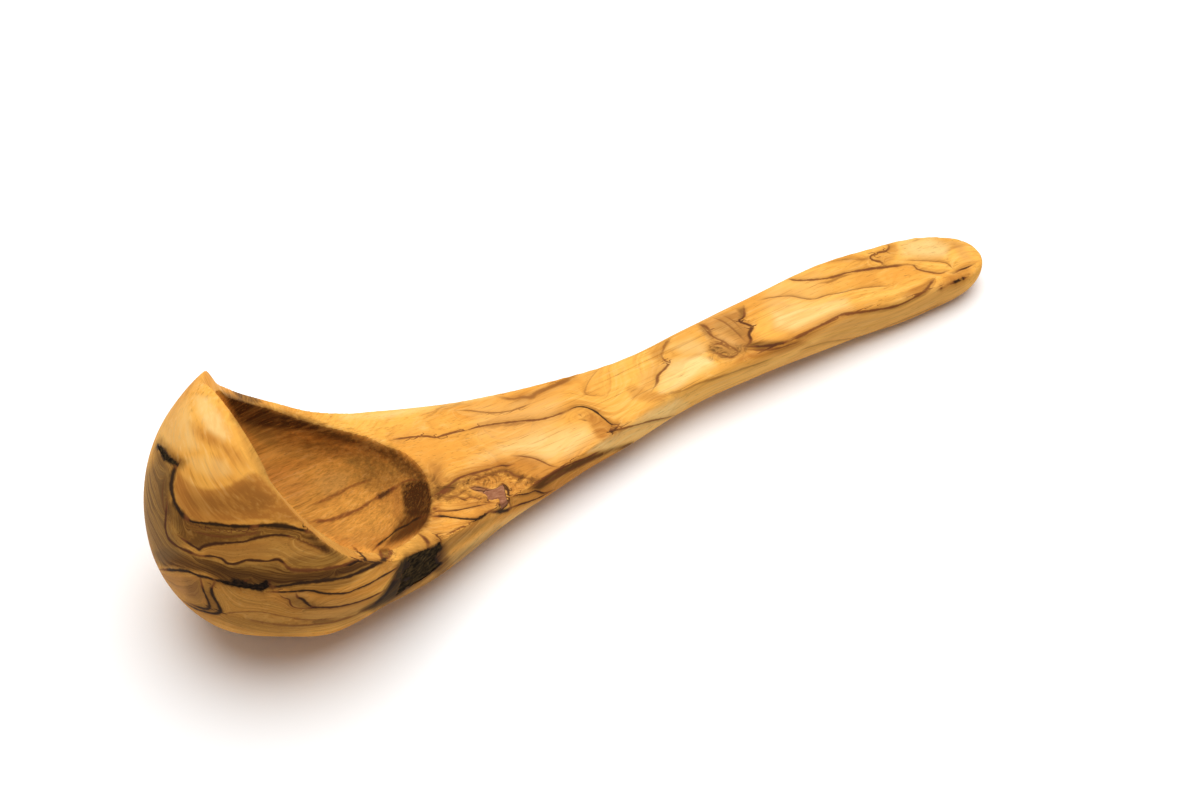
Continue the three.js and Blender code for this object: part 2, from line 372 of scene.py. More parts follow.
def setCamera():
    v = viewpoint
    data = bpy.data.cameras.new("photoCamera")
    data.sensor_width = v["sensor"]
    data.lens = v["focal"] / v["frame"][0] * v["sensor"]
    data.clip_start = v["nearest"] * mm
    camera = bpy.data.objects.new("photoCamera", data)
    bpy.context.scene.collection.objects.link(camera)
    camera.location = bowlCentre + Vector(v["place"]) * mm
    camera.rotation_euler = (math.radians(90 - v["elevation"]), 0, math.radians(v["azimuth"]))
    bpy.context.scene.camera = camera
    bpy.context.view_layer.update()
    return camera


camera = setCamera()
eye = camera.matrix_world.translation.copy()
cameraAxes = camera.matrix_world.to_3x3()


def pixelRay(x, y):
    width, height = viewpoint["frame"]
    focal = viewpoint["focal"]
    return (cameraAxes @ Vector(((x - width / 2) / focal, (height / 2 - y) / focal, -1))).normalized()


def toPixels(places):
    local = (places - np.array(eye)) @ np.array(cameraAxes)
    width, height = viewpoint["frame"]
    focal = viewpoint["focal"]
    depth = -local[:, 2]
    return np.stack([width / 2 + focal * local[:, 0] / depth, height / 2 - focal * local[:, 1] / depth], 1)


# Flaws in the wood, each let into a pocket of its own shape: roughness and grain in millimetres,
# the outline that shows traced in pixels of the photograph
flaws = {
    "knot_filler": {
        "piece": "knotPutty", "slot": "putty", "rough": 0.12, "grain": 1.6,
        "outline": [(484, 490), (487, 490.2), (496, 487.9), (502.7, 483.5), (507.2, 487.5),
            (508.6, 494.8), (509.2, 501.7), (511, 507.8), (502.7, 509.4), (502.5, 502.8), (494.6, 503),
            (487.7, 501.9), (488.7, 496)],
    },
    "flank_bark": {
        "piece": "flankBark", "slot": "bark", "rough": 0.9, "grain": 2.2,
        "outline": [(403, 562), (407, 557.5), (414, 553.5), (420.5, 550.5), (427, 548.5), (432, 547),
            (438, 545), (440, 540.5), (442.5, 546), (439, 551), (435.5, 557), (437, 563), (443.5, 562.5),
            (440.5, 567.5), (435.5, 572), (428, 576.5), (420.5, 581), (412, 586.5), (403, 591.5),
            (395, 597), (386, 602), (377, 606), (380, 599), (387, 592), (392, 584), (398, 578.5),
            (401.5, 573), (401.5, 567)],
    },
    "front_seam_fill": {
        "piece": "frontSeamFill", "slot": "seam_fill", "rough": 0.2, "grain": 1.5,
        "outline": [(208, 576.5), (219, 579), (231, 581.5), (235, 577), (239.5, 576.5), (243, 582),
            (252, 584), (261, 583), (263.5, 577.5), (267, 578), (269.5, 584), (276, 588.5), (274, 591.5),
            (262, 592.3), (250, 591.5), (238, 588.8), (226, 585), (216, 581.5)],
    },
    "notch_bark": {
        "piece": "notchBark", "slot": "bark", "rough": 0.4, "grain": 1.8,
        "outline": [(156.5, 441), (160.5, 439.5), (164, 445.5), (169.5, 448), (171.5, 455), (178, 461.5),
            (181, 466.5), (173, 465.5), (166.5, 462.5), (162, 455.5), (158, 449.5)],
    },
}
letIn = {  # how a fill is let in: lengths in millimetres, the sharp edge in degrees
    "voxel": 0.26, "weld": 0.01, "smoothing": 3, "fit": 0.12, "standOff": 40, "depth": 90,
    "lumpDepth": 3, "lumpMiddle": 0.55, "sharpEdge": 40,
}


def outlineBlock(outline):  # all that lies behind a traced outline, as seen from the photograph
    tree = BVHTree.FromObject(body, bpy.context.evaluated_depsgraph_get())
    middle = np.mean(outline, axis=0)
    reach = (tree.ray_cast(eye, pixelRay(*middle))[0] - eye).length - letIn["standOff"] * mm
    corners = [eye + pixelRay(x, y) * reach for x, y in outline]
    return extrudeOutline(corners, pixelRay(*middle) * letIn["depth"] * mm)


def fillCopy(node, name):  # a fine copy of a flaw's solid, trimmed to the outline that shows
    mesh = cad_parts[node].data.copy()
    piece = bpy.data.objects.new(name, mesh)
    bpy.context.scene.collection.objects.link(piece)
    mesh.materials.clear()
    applyModifier(piece, "WELD", merge_threshold=letIn["weld"] * mm)
    shapeByHand(piece)  # stays flush with the wood around it
    cutWith(piece, outlineBlock(flaws[node]["outline"]), "INTERSECT")
    applyModifier(piece, "REMESH", mode="VOXEL", voxel_size=letIn["voxel"] * mm)
    relax(piece, letIn["smoothing"])
    return piece


def pocketWaste(node):  # the same shape, swollen by the fit, to cut the pocket with
    piece = fillCopy(node, "pocket")
    applyModifier(piece, "DISPLACE", strength=letIn["fit"] * mm, mid_level=0)
    return piece


def fillPiece(node, flaw):  # the fill itself, its surface roughened
    piece = fillCopy(node, flaw["piece"])
    lumps = bpy.data.textures.new(flaw["piece"], "CLOUDS")
    lumps.noise_scale = flaw["grain"] * mm
    lumps.noise_depth = letIn["lumpDepth"]
    strength = flaw["rough"] * mm
    applyModifier(piece, "DISPLACE", texture=lumps, strength=strength, mid_level=letIn["lumpMiddle"])
    bpy.ops.object.shade_smooth()
    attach(piece, "root")
    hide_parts(node)
    return piece


for node, flaw in flaws.items():
    flaw["pocket"] = pocketWaste(node)
    flaw["object"] = fillPiece(node, flaw)
for flaw in flaws.values():
    cutWith(body, flaw["pocket"])
makeActive(body)
bpy.ops.object.shade_smooth_by_angle(angle=math.radians(letIn["sharpEdge"]))
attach(body, "root")
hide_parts("ladle_body")
bodyTriangles = sum(len(face.vertices) - 2 for face in body.data.polygons)
print("pockets cut and filled:", bodyTriangles, "triangles on the body")

# Figure of the wood, traced over the photograph in its pixels: line width, darkness, path
figureLines = {
    "lipLeft": (6.2, 1, [(178, 464), (173.5, 472), (171.5, 483), (172, 492), (175, 503), (181, 513),
        (190, 521)]),
    "lipLine": (3, 1, [(186, 518), (193, 522), (203, 523), (218, 524.5), (230, 526), (244, 526.3),
        (258, 526)]),
    "lipBold": (4.5, 1, [(252, 526.2), (264, 525.5), (274, 525.2), (286, 526.4), (299, 529.2),
        (312, 532.3)]),
    "leftVein": (1.6, 0.5, [(165, 476), (162.5, 492), (164, 508), (168, 520)]),
    "leftBand": (3.2, 0.85, [(167, 500), (166, 515), (165.5, 528), (169, 539), (178, 546.5),
        (188.5, 551.5), (199.5, 556)]),
    "lensFoot": (2.5, 0.9, [(196, 555.5), (206, 556), (213, 556.3), (222, 558.8), (227.5, 563.5),
        (236, 563.5), (246.5, 560), (256, 560.6), (267, 561.2), (277, 559.4), (283, 562.4), (288, 567)]),
    "lensTop": (2.8, 0.9, [(178, 536), (188.5, 543), (197, 548), (199.5, 549.7), (203, 546.6), (213, 544),
        (225, 543), (237, 542.3), (247, 541), (256, 538), (266, 536), (276, 535), (286, 535.7),
        (296, 538.4)]),
    "lensBrow": (2.4, 0.55, [(192, 530), (204, 534), (220, 536.5), (236, 536.5), (250, 534),
        (262, 531.5)]),
    "lensTail": (2.2, 0.5, [(296, 538.4), (304, 542), (316, 547), (328, 553)]),
    "seamLeft": (3.2, 1, [(158, 569.5), (173, 570), (188.5, 571.5), (198, 575.5), (208, 577.6),
        (220, 582)]),
    "seamTail": (4.5, 0.95, [(268, 587.5), (286, 585.4), (300, 583), (323, 580.6), (346, 577),
        (363, 570.5), (374.5, 565), (382.5, 560.5), (389, 557)]),
    "seamOver": (3.8, 0.75, [(284, 565), (292, 569.5), (306, 570.5), (323, 569.3), (340, 566),
        (355, 561.5), (365, 559)]),
    "seamLow": (2.5, 1, [(270, 591.8), (286, 592), (298, 591), (311.5, 590.6), (321.5, 593), (334, 593.7),
        (346, 593), (357, 589), (369, 584), (380, 577.6), (391, 571.5), (398, 567)]),
    "seamTooth": (2.4, 0.8, [(240, 587), (245, 581), (251, 579)]),
    "seamToothRight": (2.2, 0.85, [(262, 591), (265, 583.5), (270, 584), (273, 590)]),
    "barkTail": (9, 1, [(399, 572), (393, 584), (387, 593), (379, 601), (369, 607.5)]),
    "innerHook": (3.2, 0.95, [(200.5, 577), (203, 589), (207, 598.5), (209.7, 606), (207, 609),
        (198, 607), (188, 602.5)]),
    "outerHook": (3.8, 1, [(215, 582), (211.7, 589), (212.7, 595), (217.6, 603.5), (220.6, 611),
        (217, 613.3), (208, 612.6), (198, 609.5), (189, 605), (182, 599.5)]),
    "zigzag": (1.3, 0.8, [(279, 594), (283, 597.5), (289, 599.4), (291, 605), (296.3, 607.8),
        (304, 608.3)]),
    "zigzagRight": (2.2, 0.95, [(296, 593), (297.5, 597), (303, 599.5), (307, 603.6), (312, 606.5),
        (322, 606.8)]),
    "lowVein": (2.5, 0.9, [(304, 608.3), (318, 607.5), (334, 607), (348, 604.6), (362, 600.5),
        (373.5, 596), (384, 590.5)]),
    "footVein": (2.2, 0.45, [(224, 613.5), (240, 612), (261, 612), (285, 616.5), (310, 620), (335, 618)]),
    "footBand": (4, 0.45, [(246, 619), (273, 624), (298, 625.3), (330, 622.5), (356, 615)]),
    "chevronOuter": (2.8, 0.95, [(354, 547.7), (360, 553.5), (365.4, 559.2), (357, 561.6), (349, 565),
        (338, 567)]),
    "chevronMiddle": (2.6, 0.7, [(379, 549.5), (381, 555), (382, 560.4)]),
    "chevronInner": (2.6, 0.72, [(388, 548.5), (391, 552.5), (389.5, 557.5)]),
    "cupSeam": (3.2, 1, [(375.5, 548), (380.5, 543), (389.5, 536.3), (397.6, 529.4), (408, 524.5),
        (415, 519.6), (431, 514)]),
    "cupStreak": (4, 0.65, [(312, 521.5), (329, 520), (346, 514.4), (360, 508.6), (373.5, 499.5)]),
    "cupStreakEnd": (6.2, 0.9, [(373.5, 499.5), (380, 496), (388, 491.5), (400, 484.5)]),
    "cupBrow": (2, 0.6, [(398, 484.5), (410, 480), (424, 481)]),
    "cupHigh": (3.4, 0.5, [(312, 505), (335, 495), (352, 486), (370, 480)]),
    "cupCorner": (2, 0.4, [(233, 418), (240, 411), (250, 406.5), (262, 407)]),
    "neckVein": (2.2, 0.72, [(392, 440), (404, 438), (420, 436.3), (428, 436.3), (436, 437.3),
        (447.6, 434), (466, 430), (480, 426.5), (493, 424.2), (507, 422.5), (523, 420.8), (540, 419.5),
        (555, 415.6), (567, 411)]),
    "neckSoft": (4.5, 0.35, [(484, 428), (498, 425.5), (512, 424.5), (530, 422)]),
    "neckHook": (2, 0.95, [(567, 411), (576, 407), (586, 407.4), (596, 412), (605, 419.3), (612, 424.6),
        (619, 424.3)]),
    "hookLoop": (2, 0.9, [(612, 425), (610.5, 431.5), (616, 428.4), (619, 424.5)]),
    "highVein": (1.5, 0.5, [(457, 410.4), (469, 410.4), (482, 412), (496, 412.7), (509.5, 411),
        (521, 407.6), (530, 403.5)]),
    "highFaint": (1.4, 0.3, [(420, 415.6), (431.5, 412), (441, 407.6), (454.5, 404.7), (470, 401.5)]),
    "highSmudge": (4, 0.45, [(498, 396.5), (512, 399), (523, 397), (531, 397), (537, 392.4), (548, 388),
        (564, 381), (578, 374.5)]),
    "burlArch": (2.4, 0.75, [(434, 496), (443, 490), (453, 482.2), (460, 477.6), (470.5, 474),
        (484, 470.7), (494.5, 467.3)]),
    "burlEye": (2.6, 0.85, [(495, 467), (501.5, 465.6), (507, 465.8), (512, 464.6)]),
    "burlCrown": (1.5, 0.65, [(515, 456), (523, 456.4), (535, 458.6), (543, 462), (550, 465.5),
        (557, 467)]),
    "burlInner": (2.4, 0.55, [(490, 474), (500, 471.8), (509.5, 471.8), (514, 475.3), (523, 477.6),
        (536, 480)]),
    "burlLow": (2.6, 0.45, [(446, 499), (458, 495), (466, 490)]),
    "burlLeft": (5.5, 0.7, [(437, 495), (444, 491.5), (451, 488)]),
    "burlSpot": (4, 0.55, [(461.5, 482), (465.5, 482.3)]),
    "burlSpotRight": (2.8, 0.6, [(475, 478.6), (479.5, 480)]),
    "rimSpot": (3, 0.7, [(432.5, 509.5), (436.5, 508)]),
    "loopTop": (1.7, 0.9, [(470.5, 488), (475, 486.8), (482, 488), (487, 489)]),
    "loopFoot": (1.7, 0.9, [(470.5, 488), (475, 490.3), (483, 491), (489, 494)]),
    "puttyEdge": (2, 0.9, [(498, 486), (502.5, 483.6), (507, 487.5), (508.8, 494.8), (509.4, 502),
        (511, 507.4)]),
    "puttyFoot": (1.5, 0.8, [(484.5, 491), (488.7, 496), (487.5, 502), (494.5, 503)]),
    "puttySlit": (2.4, 0.9, [(499.5, 502), (499.5, 507.5)]),
    "neckThin": (1.6, 0.85, [(434, 511), (450, 511), (463.5, 509), (475, 506.4), (487, 504)]),
    "neckBlack": (2.6, 1, [(431, 516.4), (443, 516.3), (454.5, 517.8), (466, 519), (477.5, 519),
        (484, 515.5), (491, 511)]),
    "neckBold": (5, 1, [(489, 511.5), (499, 511.5), (507, 510.2), (512, 507.4)]),
    "neckFine": (2.2, 0.9, [(511, 507.6), (521, 504), (529, 501.7), (540.5, 497), (552, 490.5)]),
    "afterPutty": (1.8, 0.9, [(511, 497), (519, 494.8), (528, 493.6), (535, 490.8), (544, 493),
        (553, 490)]),
    "edgeThin": (1.6, 0.7, [(443, 536.5), (452.5, 531.7), (462, 527), (470, 522.5), (478, 519.5)]),
    "rimStripe": (3.6, 0.8, [(418, 533.6), (423.4, 537.2), (427.4, 542), (427.6, 548)]),
    "rimZigzag": (1.6, 0.85, [(444, 533), (436, 535), (441, 539.7), (438, 545)]),
    "flankTop": (2.6, 0.8, [(530, 488), (545, 478.5), (558, 470.5), (572, 463.5), (586, 458),
        (600, 451)]),
    "flankMiddle": (4.5, 0.5, [(536, 488), (552, 479.5), (568, 471), (584, 463.5), (602, 455)]),
    "nearVein": (1.8, 0.65, [(610, 432), (623, 428.4), (637, 424.8), (651, 420.8), (665, 418),
        (680, 414)]),
    "faintCorner": (1.4, 0.35, [(600, 368), (591, 378), (585.5, 389), (587, 394.7), (605, 396)]),
    "handleJag": (3.4, 0.5, [(671, 338), (665, 345), (661.5, 356)]),
    "handleJagLow": (2.6, 0.7, [(661.5, 355), (664, 360.3), (668.6, 363), (665, 368.6), (658, 375.8),
        (657, 382.5), (652.5, 390)]),
    "patchRight": (3.2, 0.85, [(744, 308), (744, 316.5), (738.5, 321), (748, 324.6), (752.2, 327.4),
        (749.4, 333.6), (750.8, 340.5), (746.6, 346.3)]),
    "patchFoot": (2.6, 0.85, [(746.6, 346.3), (759, 346.3), (770, 345.5), (781, 343.5), (789.5, 340.8)]),
    "patchUnder": (2, 0.6, [(746.6, 349.5), (763.5, 350), (781, 347.6), (800, 341)]),
    "patchLeft": (4, 0.6, [(700, 324.6), (707, 327.5), (711.5, 334)]),
    "patchSwirl": (2.4, 0.5, [(707, 352), (717, 353.3), (725.5, 356.2), (731, 357.5), (738, 353.3),
        (734, 349)]),
    "patchCurl": (2.4, 0.6, [(712, 346), (718, 343.5), (725, 346), (731, 350)]),
    "patchDiagonal": (2.4, 0.55, [(703, 327), (712, 336), (722, 341), (733, 348), (741, 353)]),
    "patchStreak": (2, 0.45, [(714, 318), (724, 322), (735, 331), (745, 341)]),
    "patchFaint": (1.6, 0.4, [(722, 315), (732, 320), (741, 329)]),
    "burlCurl": (1.8, 0.55, [(448, 500), (456, 497), (464, 499), (472, 497), (480, 499), (488, 497)]),
    "burlCurlHigh": (1.8, 0.5, [(464, 478), (474, 475), (482, 477), (492, 474.5), (500, 476)]),
    "endVein": (2.6, 0.7, [(788, 279), (798, 280.4), (816, 279.5), (830, 277.8), (845, 273.4),
        (860, 270.5), (874.5, 268.3)]),
    "endDark": (3.4, 0.75, [(862, 270.5), (875, 268.3), (889, 266.8), (905, 264.8)]),
    "endVeinLow": (3, 0.45, [(819, 283.5), (830.5, 281.5), (842, 276.5), (854, 274)]),
    "endLoop": (3.2, 0.75, [(880.5, 243), (889, 245.6), (886, 250.7), (877.5, 253), (870.3, 256.5),
        (873, 260.2), (881.7, 262.5), (880.5, 266)]),
    "endFar": (2.4, 0.35, [(830, 262), (848, 259), (862, 259.5), (871, 257.5)]),
    "endArch": (1.4, 0.45, [(905, 260.2), (929, 261), (946, 263), (952, 268)]),
    "endHook": (2.2, 0.65, [(905, 264.8), (914, 265.3), (917, 269), (929, 272), (940, 273.4),
        (946.5, 271)]),
    "endLow": (1.4, 0.5, [(760, 300), (773, 297.2), (791, 296), (802.5, 298.3), (814, 299), (826, 295.4),
        (842, 292.5), (854, 289.5), (874.5, 286.6), (890, 286)]),
    "endEdge": (2.6, 0.72, [(789, 341), (802.5, 335), (816, 327.6), (830, 320.5), (842, 314.6),
        (854, 313), (870, 310.8), (887.5, 308), (901, 304.2), (915.5, 297), (924.5, 291), (930, 284.5),
        (934.5, 279)]),
    "sideVein": (2, 0.4, [(667, 394), (683, 390.5), (700, 383), (721, 376.5), (742, 369), (770, 359.5)]),
    "sideLow": (2.4, 0.35, [(800, 350), (826, 342.4), (862, 336), (890, 325), (920, 313), (940, 304)]),
    "pits": (3.4, 1, [(949.5, 284), (953, 283), (957, 281.3), (961, 279.6), (965, 278), (967.5, 275.5)]),
    "pitLeft": (5, 1, [(954, 282.5), (956.5, 281.5)]),
    "pitRight": (5.5, 1, [(962, 279), (965, 277.6)]),
    "pitsLeft": (1.8, 0.8, [(939, 289.5), (943.5, 287.3)]),
    "pitsTop": (3, 0.9, [(955, 272.5), (961, 269.6), (967, 267.5), (973, 264.5)]),
    "knotDot": (3.6, 0.6, [(583, 420), (585.5, 420.5)]),
    "knotDotHigh": (2.4, 0.4, [(579, 414.5), (582, 416.5)]),
}

# Tinted areas of the wood, traced likewise, among them painted shade and painted highlights: tint, strength,
# soft edge, outline
tintAreas = {
    "domeCalm": ("calm", 1, 5, [(150, 440), (205, 372), (222, 392), (240, 425), (258, 471), (285, 503),
        (310, 528), (262, 523), (200, 521), (182, 512), (174, 490), (178, 466)]),
    # painted highlights: pale streaks on the upper dome where the light catches it
    "domePaintedHighlight": ("pale", 0.7, 5, [(196, 396), (208, 398), (220, 414), (231, 437), (223, 441), (208, 430),
        (197, 412)]),
    "domeLeftPaintedHighlight": ("pale", 0.5, 9, [(160, 434), (174, 412), (186, 402), (192, 424), (198, 448), (180, 450),
        (166, 446)]),
    "domeBand": ("pale", 0.3, 5, [(184, 458), (204, 455), (224, 461), (233, 473), (216, 479),
        (196, 471)]),
    "domeArc": ("amber", 0.5, 5, [(190, 422), (204, 430), (222, 440), (240, 452), (251, 467), (242, 466),
        (226, 453), (208, 444), (194, 434)]),
    "domeFoot": ("amber", 0.95, 2.5, [(177, 470), (184, 478), (191, 484), (201, 488.5), (211, 489.5),
        (222, 488), (232, 485), (240, 480), (248, 474.5), (254, 472.5), (263, 478), (276, 492),
        (291, 508), (304, 523), (285, 521), (262, 519), (240, 521), (215, 523), (195, 521), (185, 514),
        (177, 503), (173, 488)]),
    "domeFootDeep": ("brown", 0.35, 7, [(186, 492), (200, 496), (226, 492), (250, 480), (276, 500),
        (262, 512), (230, 514), (202, 512), (190, 506)]),
    "notchBrown": ("brown", 0.6, 4, [(167, 448), (176, 456), (188, 461), (184, 468), (174, 466),
        (165, 458)]),
    "foreBand": ("tan", 0.4, 9, [(300, 518), (345, 530), (440, 515), (440, 548), (380, 562), (310, 548)]),
    "lowerLeft": ("rose", 0.7, 5, [(160, 573), (180, 573), (199, 578), (203, 592), (206, 602), (190, 600),
        (176, 592)]),
    "footPale": ("pale", 0.35, 6, [(300, 606), (330, 604), (362, 602), (364, 616), (334, 622),
        (302, 620)]),
    "barkFade": ("brown", 0.75, 4, [(435, 556), (446, 552), (451, 561), (445, 572), (435, 575)]),
    "barkUnder": ("grey", 0.7, 3, [(372, 612), (400, 597), (430, 578), (446, 566), (452, 570), (430, 588),
        (402, 605), (380, 615)]),
    "cupRight": ("tan", 0.4, 8, [(380, 485), (440, 455), (455, 480), (425, 505), (385, 515)]),
    "neckLight": ("pale", 0.25, 10, [(470, 405), (560, 395), (560, 440), (480, 440)]),
    "handleLight": ("pale", 0.25, 10, [(760, 285), (820, 270), (830, 310), (770, 325)]),
    "flankLight": ("pale", 0.35, 6, [(476, 540), (500, 520), (508, 526), (486, 544)]),
    # painted shade: grey-brown darkening where the bowl turns away at its left edge
    "leftEdgePaintedShade": ("grey", 0.86, 7, [(158, 452), (172, 468), (166, 500), (168, 528), (184, 553), (156, 566),
        (141, 520), (144, 474)]),
    "leftBrown": ("brown", 0.6, 5, [(160, 470), (172, 475), (172, 500), (180, 520), (190, 545),
        (176, 548), (164, 530), (158, 500)]),
    "leftDeep": ("dark", 0.45, 5, [(172, 470), (170, 494), (176, 512), (186, 520), (178, 530), (164, 512),
        (161, 486)]),
    "underLip": ("brown", 0.77, 3, [(174, 500), (185, 517), (196, 522), (215, 524), (245, 526),
        (270, 526), (290, 528), (312, 533), (318, 538), (328, 547), (338, 553), (325, 553), (310, 545),
        (296, 539), (276, 535.5), (262, 536.5), (250, 541), (235, 543.5), (215, 544), (203, 546),
        (199, 550), (190, 545), (178, 536), (167, 520), (165, 503)]),
    "underLipDeep": ("dark", 0.15, 4, [(180, 514), (200, 526), (250, 529), (300, 532), (330, 550),
        (300, 541), (262, 534), (215, 540), (198, 545), (182, 533)]),
    "lens": ("tan", 0.8, 3, [(203, 551), (210, 547), (225, 545), (240, 544.5), (252, 541.5), (265, 537.5),
        (278, 537), (295, 540), (308, 545), (322, 552), (328, 555), (318, 558), (305, 561), (290, 562),
        (283, 559), (272, 560), (255, 559.5), (240, 560), (228, 562.5), (216, 557), (207, 555)]),
    "lensLeft": ("amber", 0.7, 6, [(205, 551), (226, 546), (256, 542), (270, 548), (262, 558), (232, 560),
        (214, 556)]),
    "lensDeep": ("brown", 0.65, 4, [(284, 560), (300, 557), (318, 556), (332, 556), (344, 560),
        (330, 568), (300, 571), (286, 567)]),
    "lensWedge": ("dark", 0.6, 3, [(312, 533), (322, 543), (337, 553), (348, 557.5), (338, 560),
        (328, 556), (316, 547), (307, 539)]),
    "underLens": ("brown", 0.95, 3, [(168, 548), (185, 552), (198, 557), (210, 558), (222, 562),
        (230, 566), (245, 562.5), (262, 562.5), (278, 561), (286, 567), (295, 571), (320, 570.5),
        (345, 565), (364, 560), (384, 560), (372, 566), (350, 574), (325, 580), (300, 584), (272, 588),
        (240, 585), (222, 580), (205, 573), (185, 570), (163, 567), (154, 552)]),
    "underLensDeep": ("dark", 0.65, 4, [(200, 566), (222, 566), (246, 570), (276, 574), (310, 574),
        (345, 568), (370, 562), (356, 572), (325, 581), (290, 586), (258, 586), (226, 580)]),
    # painted shade: the downward-facing lower bowl darkened
    "lowerBowlPaintedShade": ("tan", 0.7, 8, [(160, 574), (205, 582), (240, 592), (300, 596), (380, 596), (360, 622),
        (280, 634), (200, 622)]),
    "seamShade": ("brown", 0.6, 3, [(280, 586), (310, 584), (345, 578), (365, 572), (350, 584),
        (325, 593), (290, 592)]),
    "lowerShade": ("brown", 0.35, 6, [(214, 612), (240, 618), (290, 622), (330, 619), (372, 606),
        (345, 622), (290, 636), (240, 633)]),
    "hookShade": ("brown", 0.5, 3, [(202, 578), (214, 582), (213, 592), (220, 606), (222, 613),
        (206, 613), (184, 602), (206, 604)]),
    "hookLeft": ("brown", 0.5, 5, [(184, 578), (200, 578), (206, 596), (200, 604), (188, 598)]),
    "zigzagShade": ("brown", 0.4, 3, [(282, 594), (300, 594), (312, 602), (330, 607), (306, 610),
        (292, 604)]),
    "barkTail": ("black", 0.95, 3, [(408, 554), (400, 562), (396, 574), (388, 588), (377, 600),
        (362, 610), (374, 609), (390, 602), (403, 594), (408, 580)]),
    "barkShade": ("dark", 1, 4, [(396, 566), (408, 556), (438, 544), (444, 546), (440, 568), (402, 594),
        (374, 609), (360, 612), (380, 597), (391, 580)]),
    "cup": ("amber", 0.2, 4, [(222, 392), (304, 418), (391, 447), (431, 488), (424, 523), (376, 549),
        (313, 530), (258, 471)]),
    "cupHigh": ("brown", 0.35, 8, [(236, 418), (300, 430), (372, 452), (398, 466), (360, 462), (312, 448),
        (262, 438)]),
    "cupMist": ("olive", 0.95, 8, [(234, 420), (300, 434), (380, 454), (404, 478), (372, 482), (340, 460),
        (305, 462), (276, 456), (252, 438)]),
    "cupBand": ("olive", 0.7, 5, [(352, 470), (392, 466), (404, 478), (392, 488), (372, 494),
        (350, 486)]),
    # painted shade: the far wall of the hollow darkened under its rim
    "cupCorner": ("dark", 0.9, 4, [(222, 392), (258, 404), (300, 419), (345, 433), (312, 432), (286, 430),
        (262, 428), (240, 424), (231, 408)]),
    "cupBrow": ("dark", 0.75, 5, [(280, 410), (330, 427), (370, 441), (394, 449), (412, 462), (426, 478),
        (432, 494), (422, 490), (412, 474), (394, 462), (352, 446), (312, 436), (285, 428)]),
    "cupBrowRightPaintedShade": ("dark", 0.65, 4, [(396, 452), (416, 463), (428, 477), (420, 483), (404, 477),
        (390, 464)]),
    "cupSeamShade": ("dark", 0.4, 4, [(398, 520), (428, 512), (424, 528), (404, 538), (388, 542)]),
    "cupWood": ("olive", 0.5, 4, [(222, 392), (304, 418), (391, 447), (431, 488), (424, 523), (376, 549),
        (313, 530), (258, 471)]),
    "cupBandDeep": ("brown", 0.35, 5, [(358, 472), (392, 468), (404, 479), (390, 488), (370, 492)]),
    "cupRose": ("rose", 0.2, 8, [(256, 462), (290, 470), (312, 486), (300, 502), (284, 496), (268, 480)]),
    # painted light: the floor of the hollow brightened where light falls on it
    "cupFloorPaintedLight": ("gold", 0.5, 8, [(310, 482), (340, 464), (360, 478), (384, 500), (392, 528), (366, 546),
        (330, 530), (304, 512)]),
    "cupFloorPaintedLightCore": ("gold", 0.9, 5, [(306, 478), (330, 468), (352, 470), (350, 492), (326, 502), (306, 496)]),
    "cupFloorPaintedHighlight": ("pale", 0.25, 5, [(312, 480), (332, 471), (350, 474), (346, 490), (326, 498)]),
    # painted shade: the steep rear wall of the hollow darkened
    "cupRear": ("dark", 1, 3, [(401, 484), (414, 480), (428, 482), (433, 497), (430, 514), (410, 518),
        (404, 512)]),
    "cupRearEdge": ("amber", 0.9, 3, [(392, 490), (402, 486), (406, 512), (400, 523), (393, 518)]),
    "cupRed": ("amber", 0.95, 3, [(430, 515), (426, 526), (415, 535), (401, 543), (380, 549), (391, 537),
        (404, 528)]),
    "cupRedDeep": ("brown", 0.95, 4, [(431, 513), (427, 526), (412, 534), (398, 541), (386, 545),
        (393, 534), (399, 522), (404, 512), (416, 508)]),
    "chevrons": ("brown", 0.75, 1.5, [(378, 549), (387, 548), (391, 554), (388, 560), (381, 561),
        (380, 555)]),
    # painted highlight along the near rim
    "rimPaintedHighlight": ("gold", 0.45, 3, [(312, 533), (340, 545), (372, 549), (400, 546), (424, 533), (430, 545),
        (404, 557), (366, 560), (345, 557)]),
    "rimWarm": ("amber", 0.45, 4, [(312, 533), (330, 540), (350, 547), (356, 553), (340, 557),
        (322, 546)]),
    "rimInner": ("amber", 0.5, 3, [(330, 534), (350, 538), (372, 540), (386, 532), (390, 538), (380, 549),
        (356, 548), (338, 544)]),
    # painted highlight: a bright band along the lip's edge
    "lipPaintedHighlight": ("gold", 0.8, 3, [(218, 392), (226, 408), (240, 438), (256, 470), (250, 470), (236, 442),
        (222, 412)]),
    "rimPatch": ("dark", 0.75, 2, [(231, 388), (258, 398), (262, 402), (254, 404), (240, 399),
        (233, 393)]),
    # painted highlight along the far edge of the neck
    "neckEdgePaintedHighlight": ("pale", 0.6, 3, [(340, 415), (385, 412), (440, 402), (500, 392), (500, 396), (440, 408),
        (385, 418), (340, 419)]),
    "neckLeft": ("honey", 0.8, 8, [(392, 442), (440, 440), (470, 444), (452, 464), (436, 478), (430, 486),
        (416, 466), (402, 452)]),
    "neckSmudge": ("amber", 0.7, 4, [(508, 397), (522, 393), (534, 392), (548, 386), (566, 379),
        (570, 383), (550, 392), (534, 400), (518, 401)]),
    "veinShade": ("amber", 0.3, 4, [(470, 430), (500, 423), (540, 420), (560, 415), (566, 418),
        (540, 426), (500, 431), (474, 434)]),
    "paleNeck": ("pale", 0.6, 9, [(470, 462), (500, 444), (540, 432), (585, 426), (594, 436), (572, 454),
        (545, 462), (515, 454)]),
    "hookGlow": ("amber", 0.75, 3, [(588, 412), (597, 415), (606, 421), (613, 427), (610, 433),
        (604, 441), (597, 438), (592, 428), (587, 418)]),
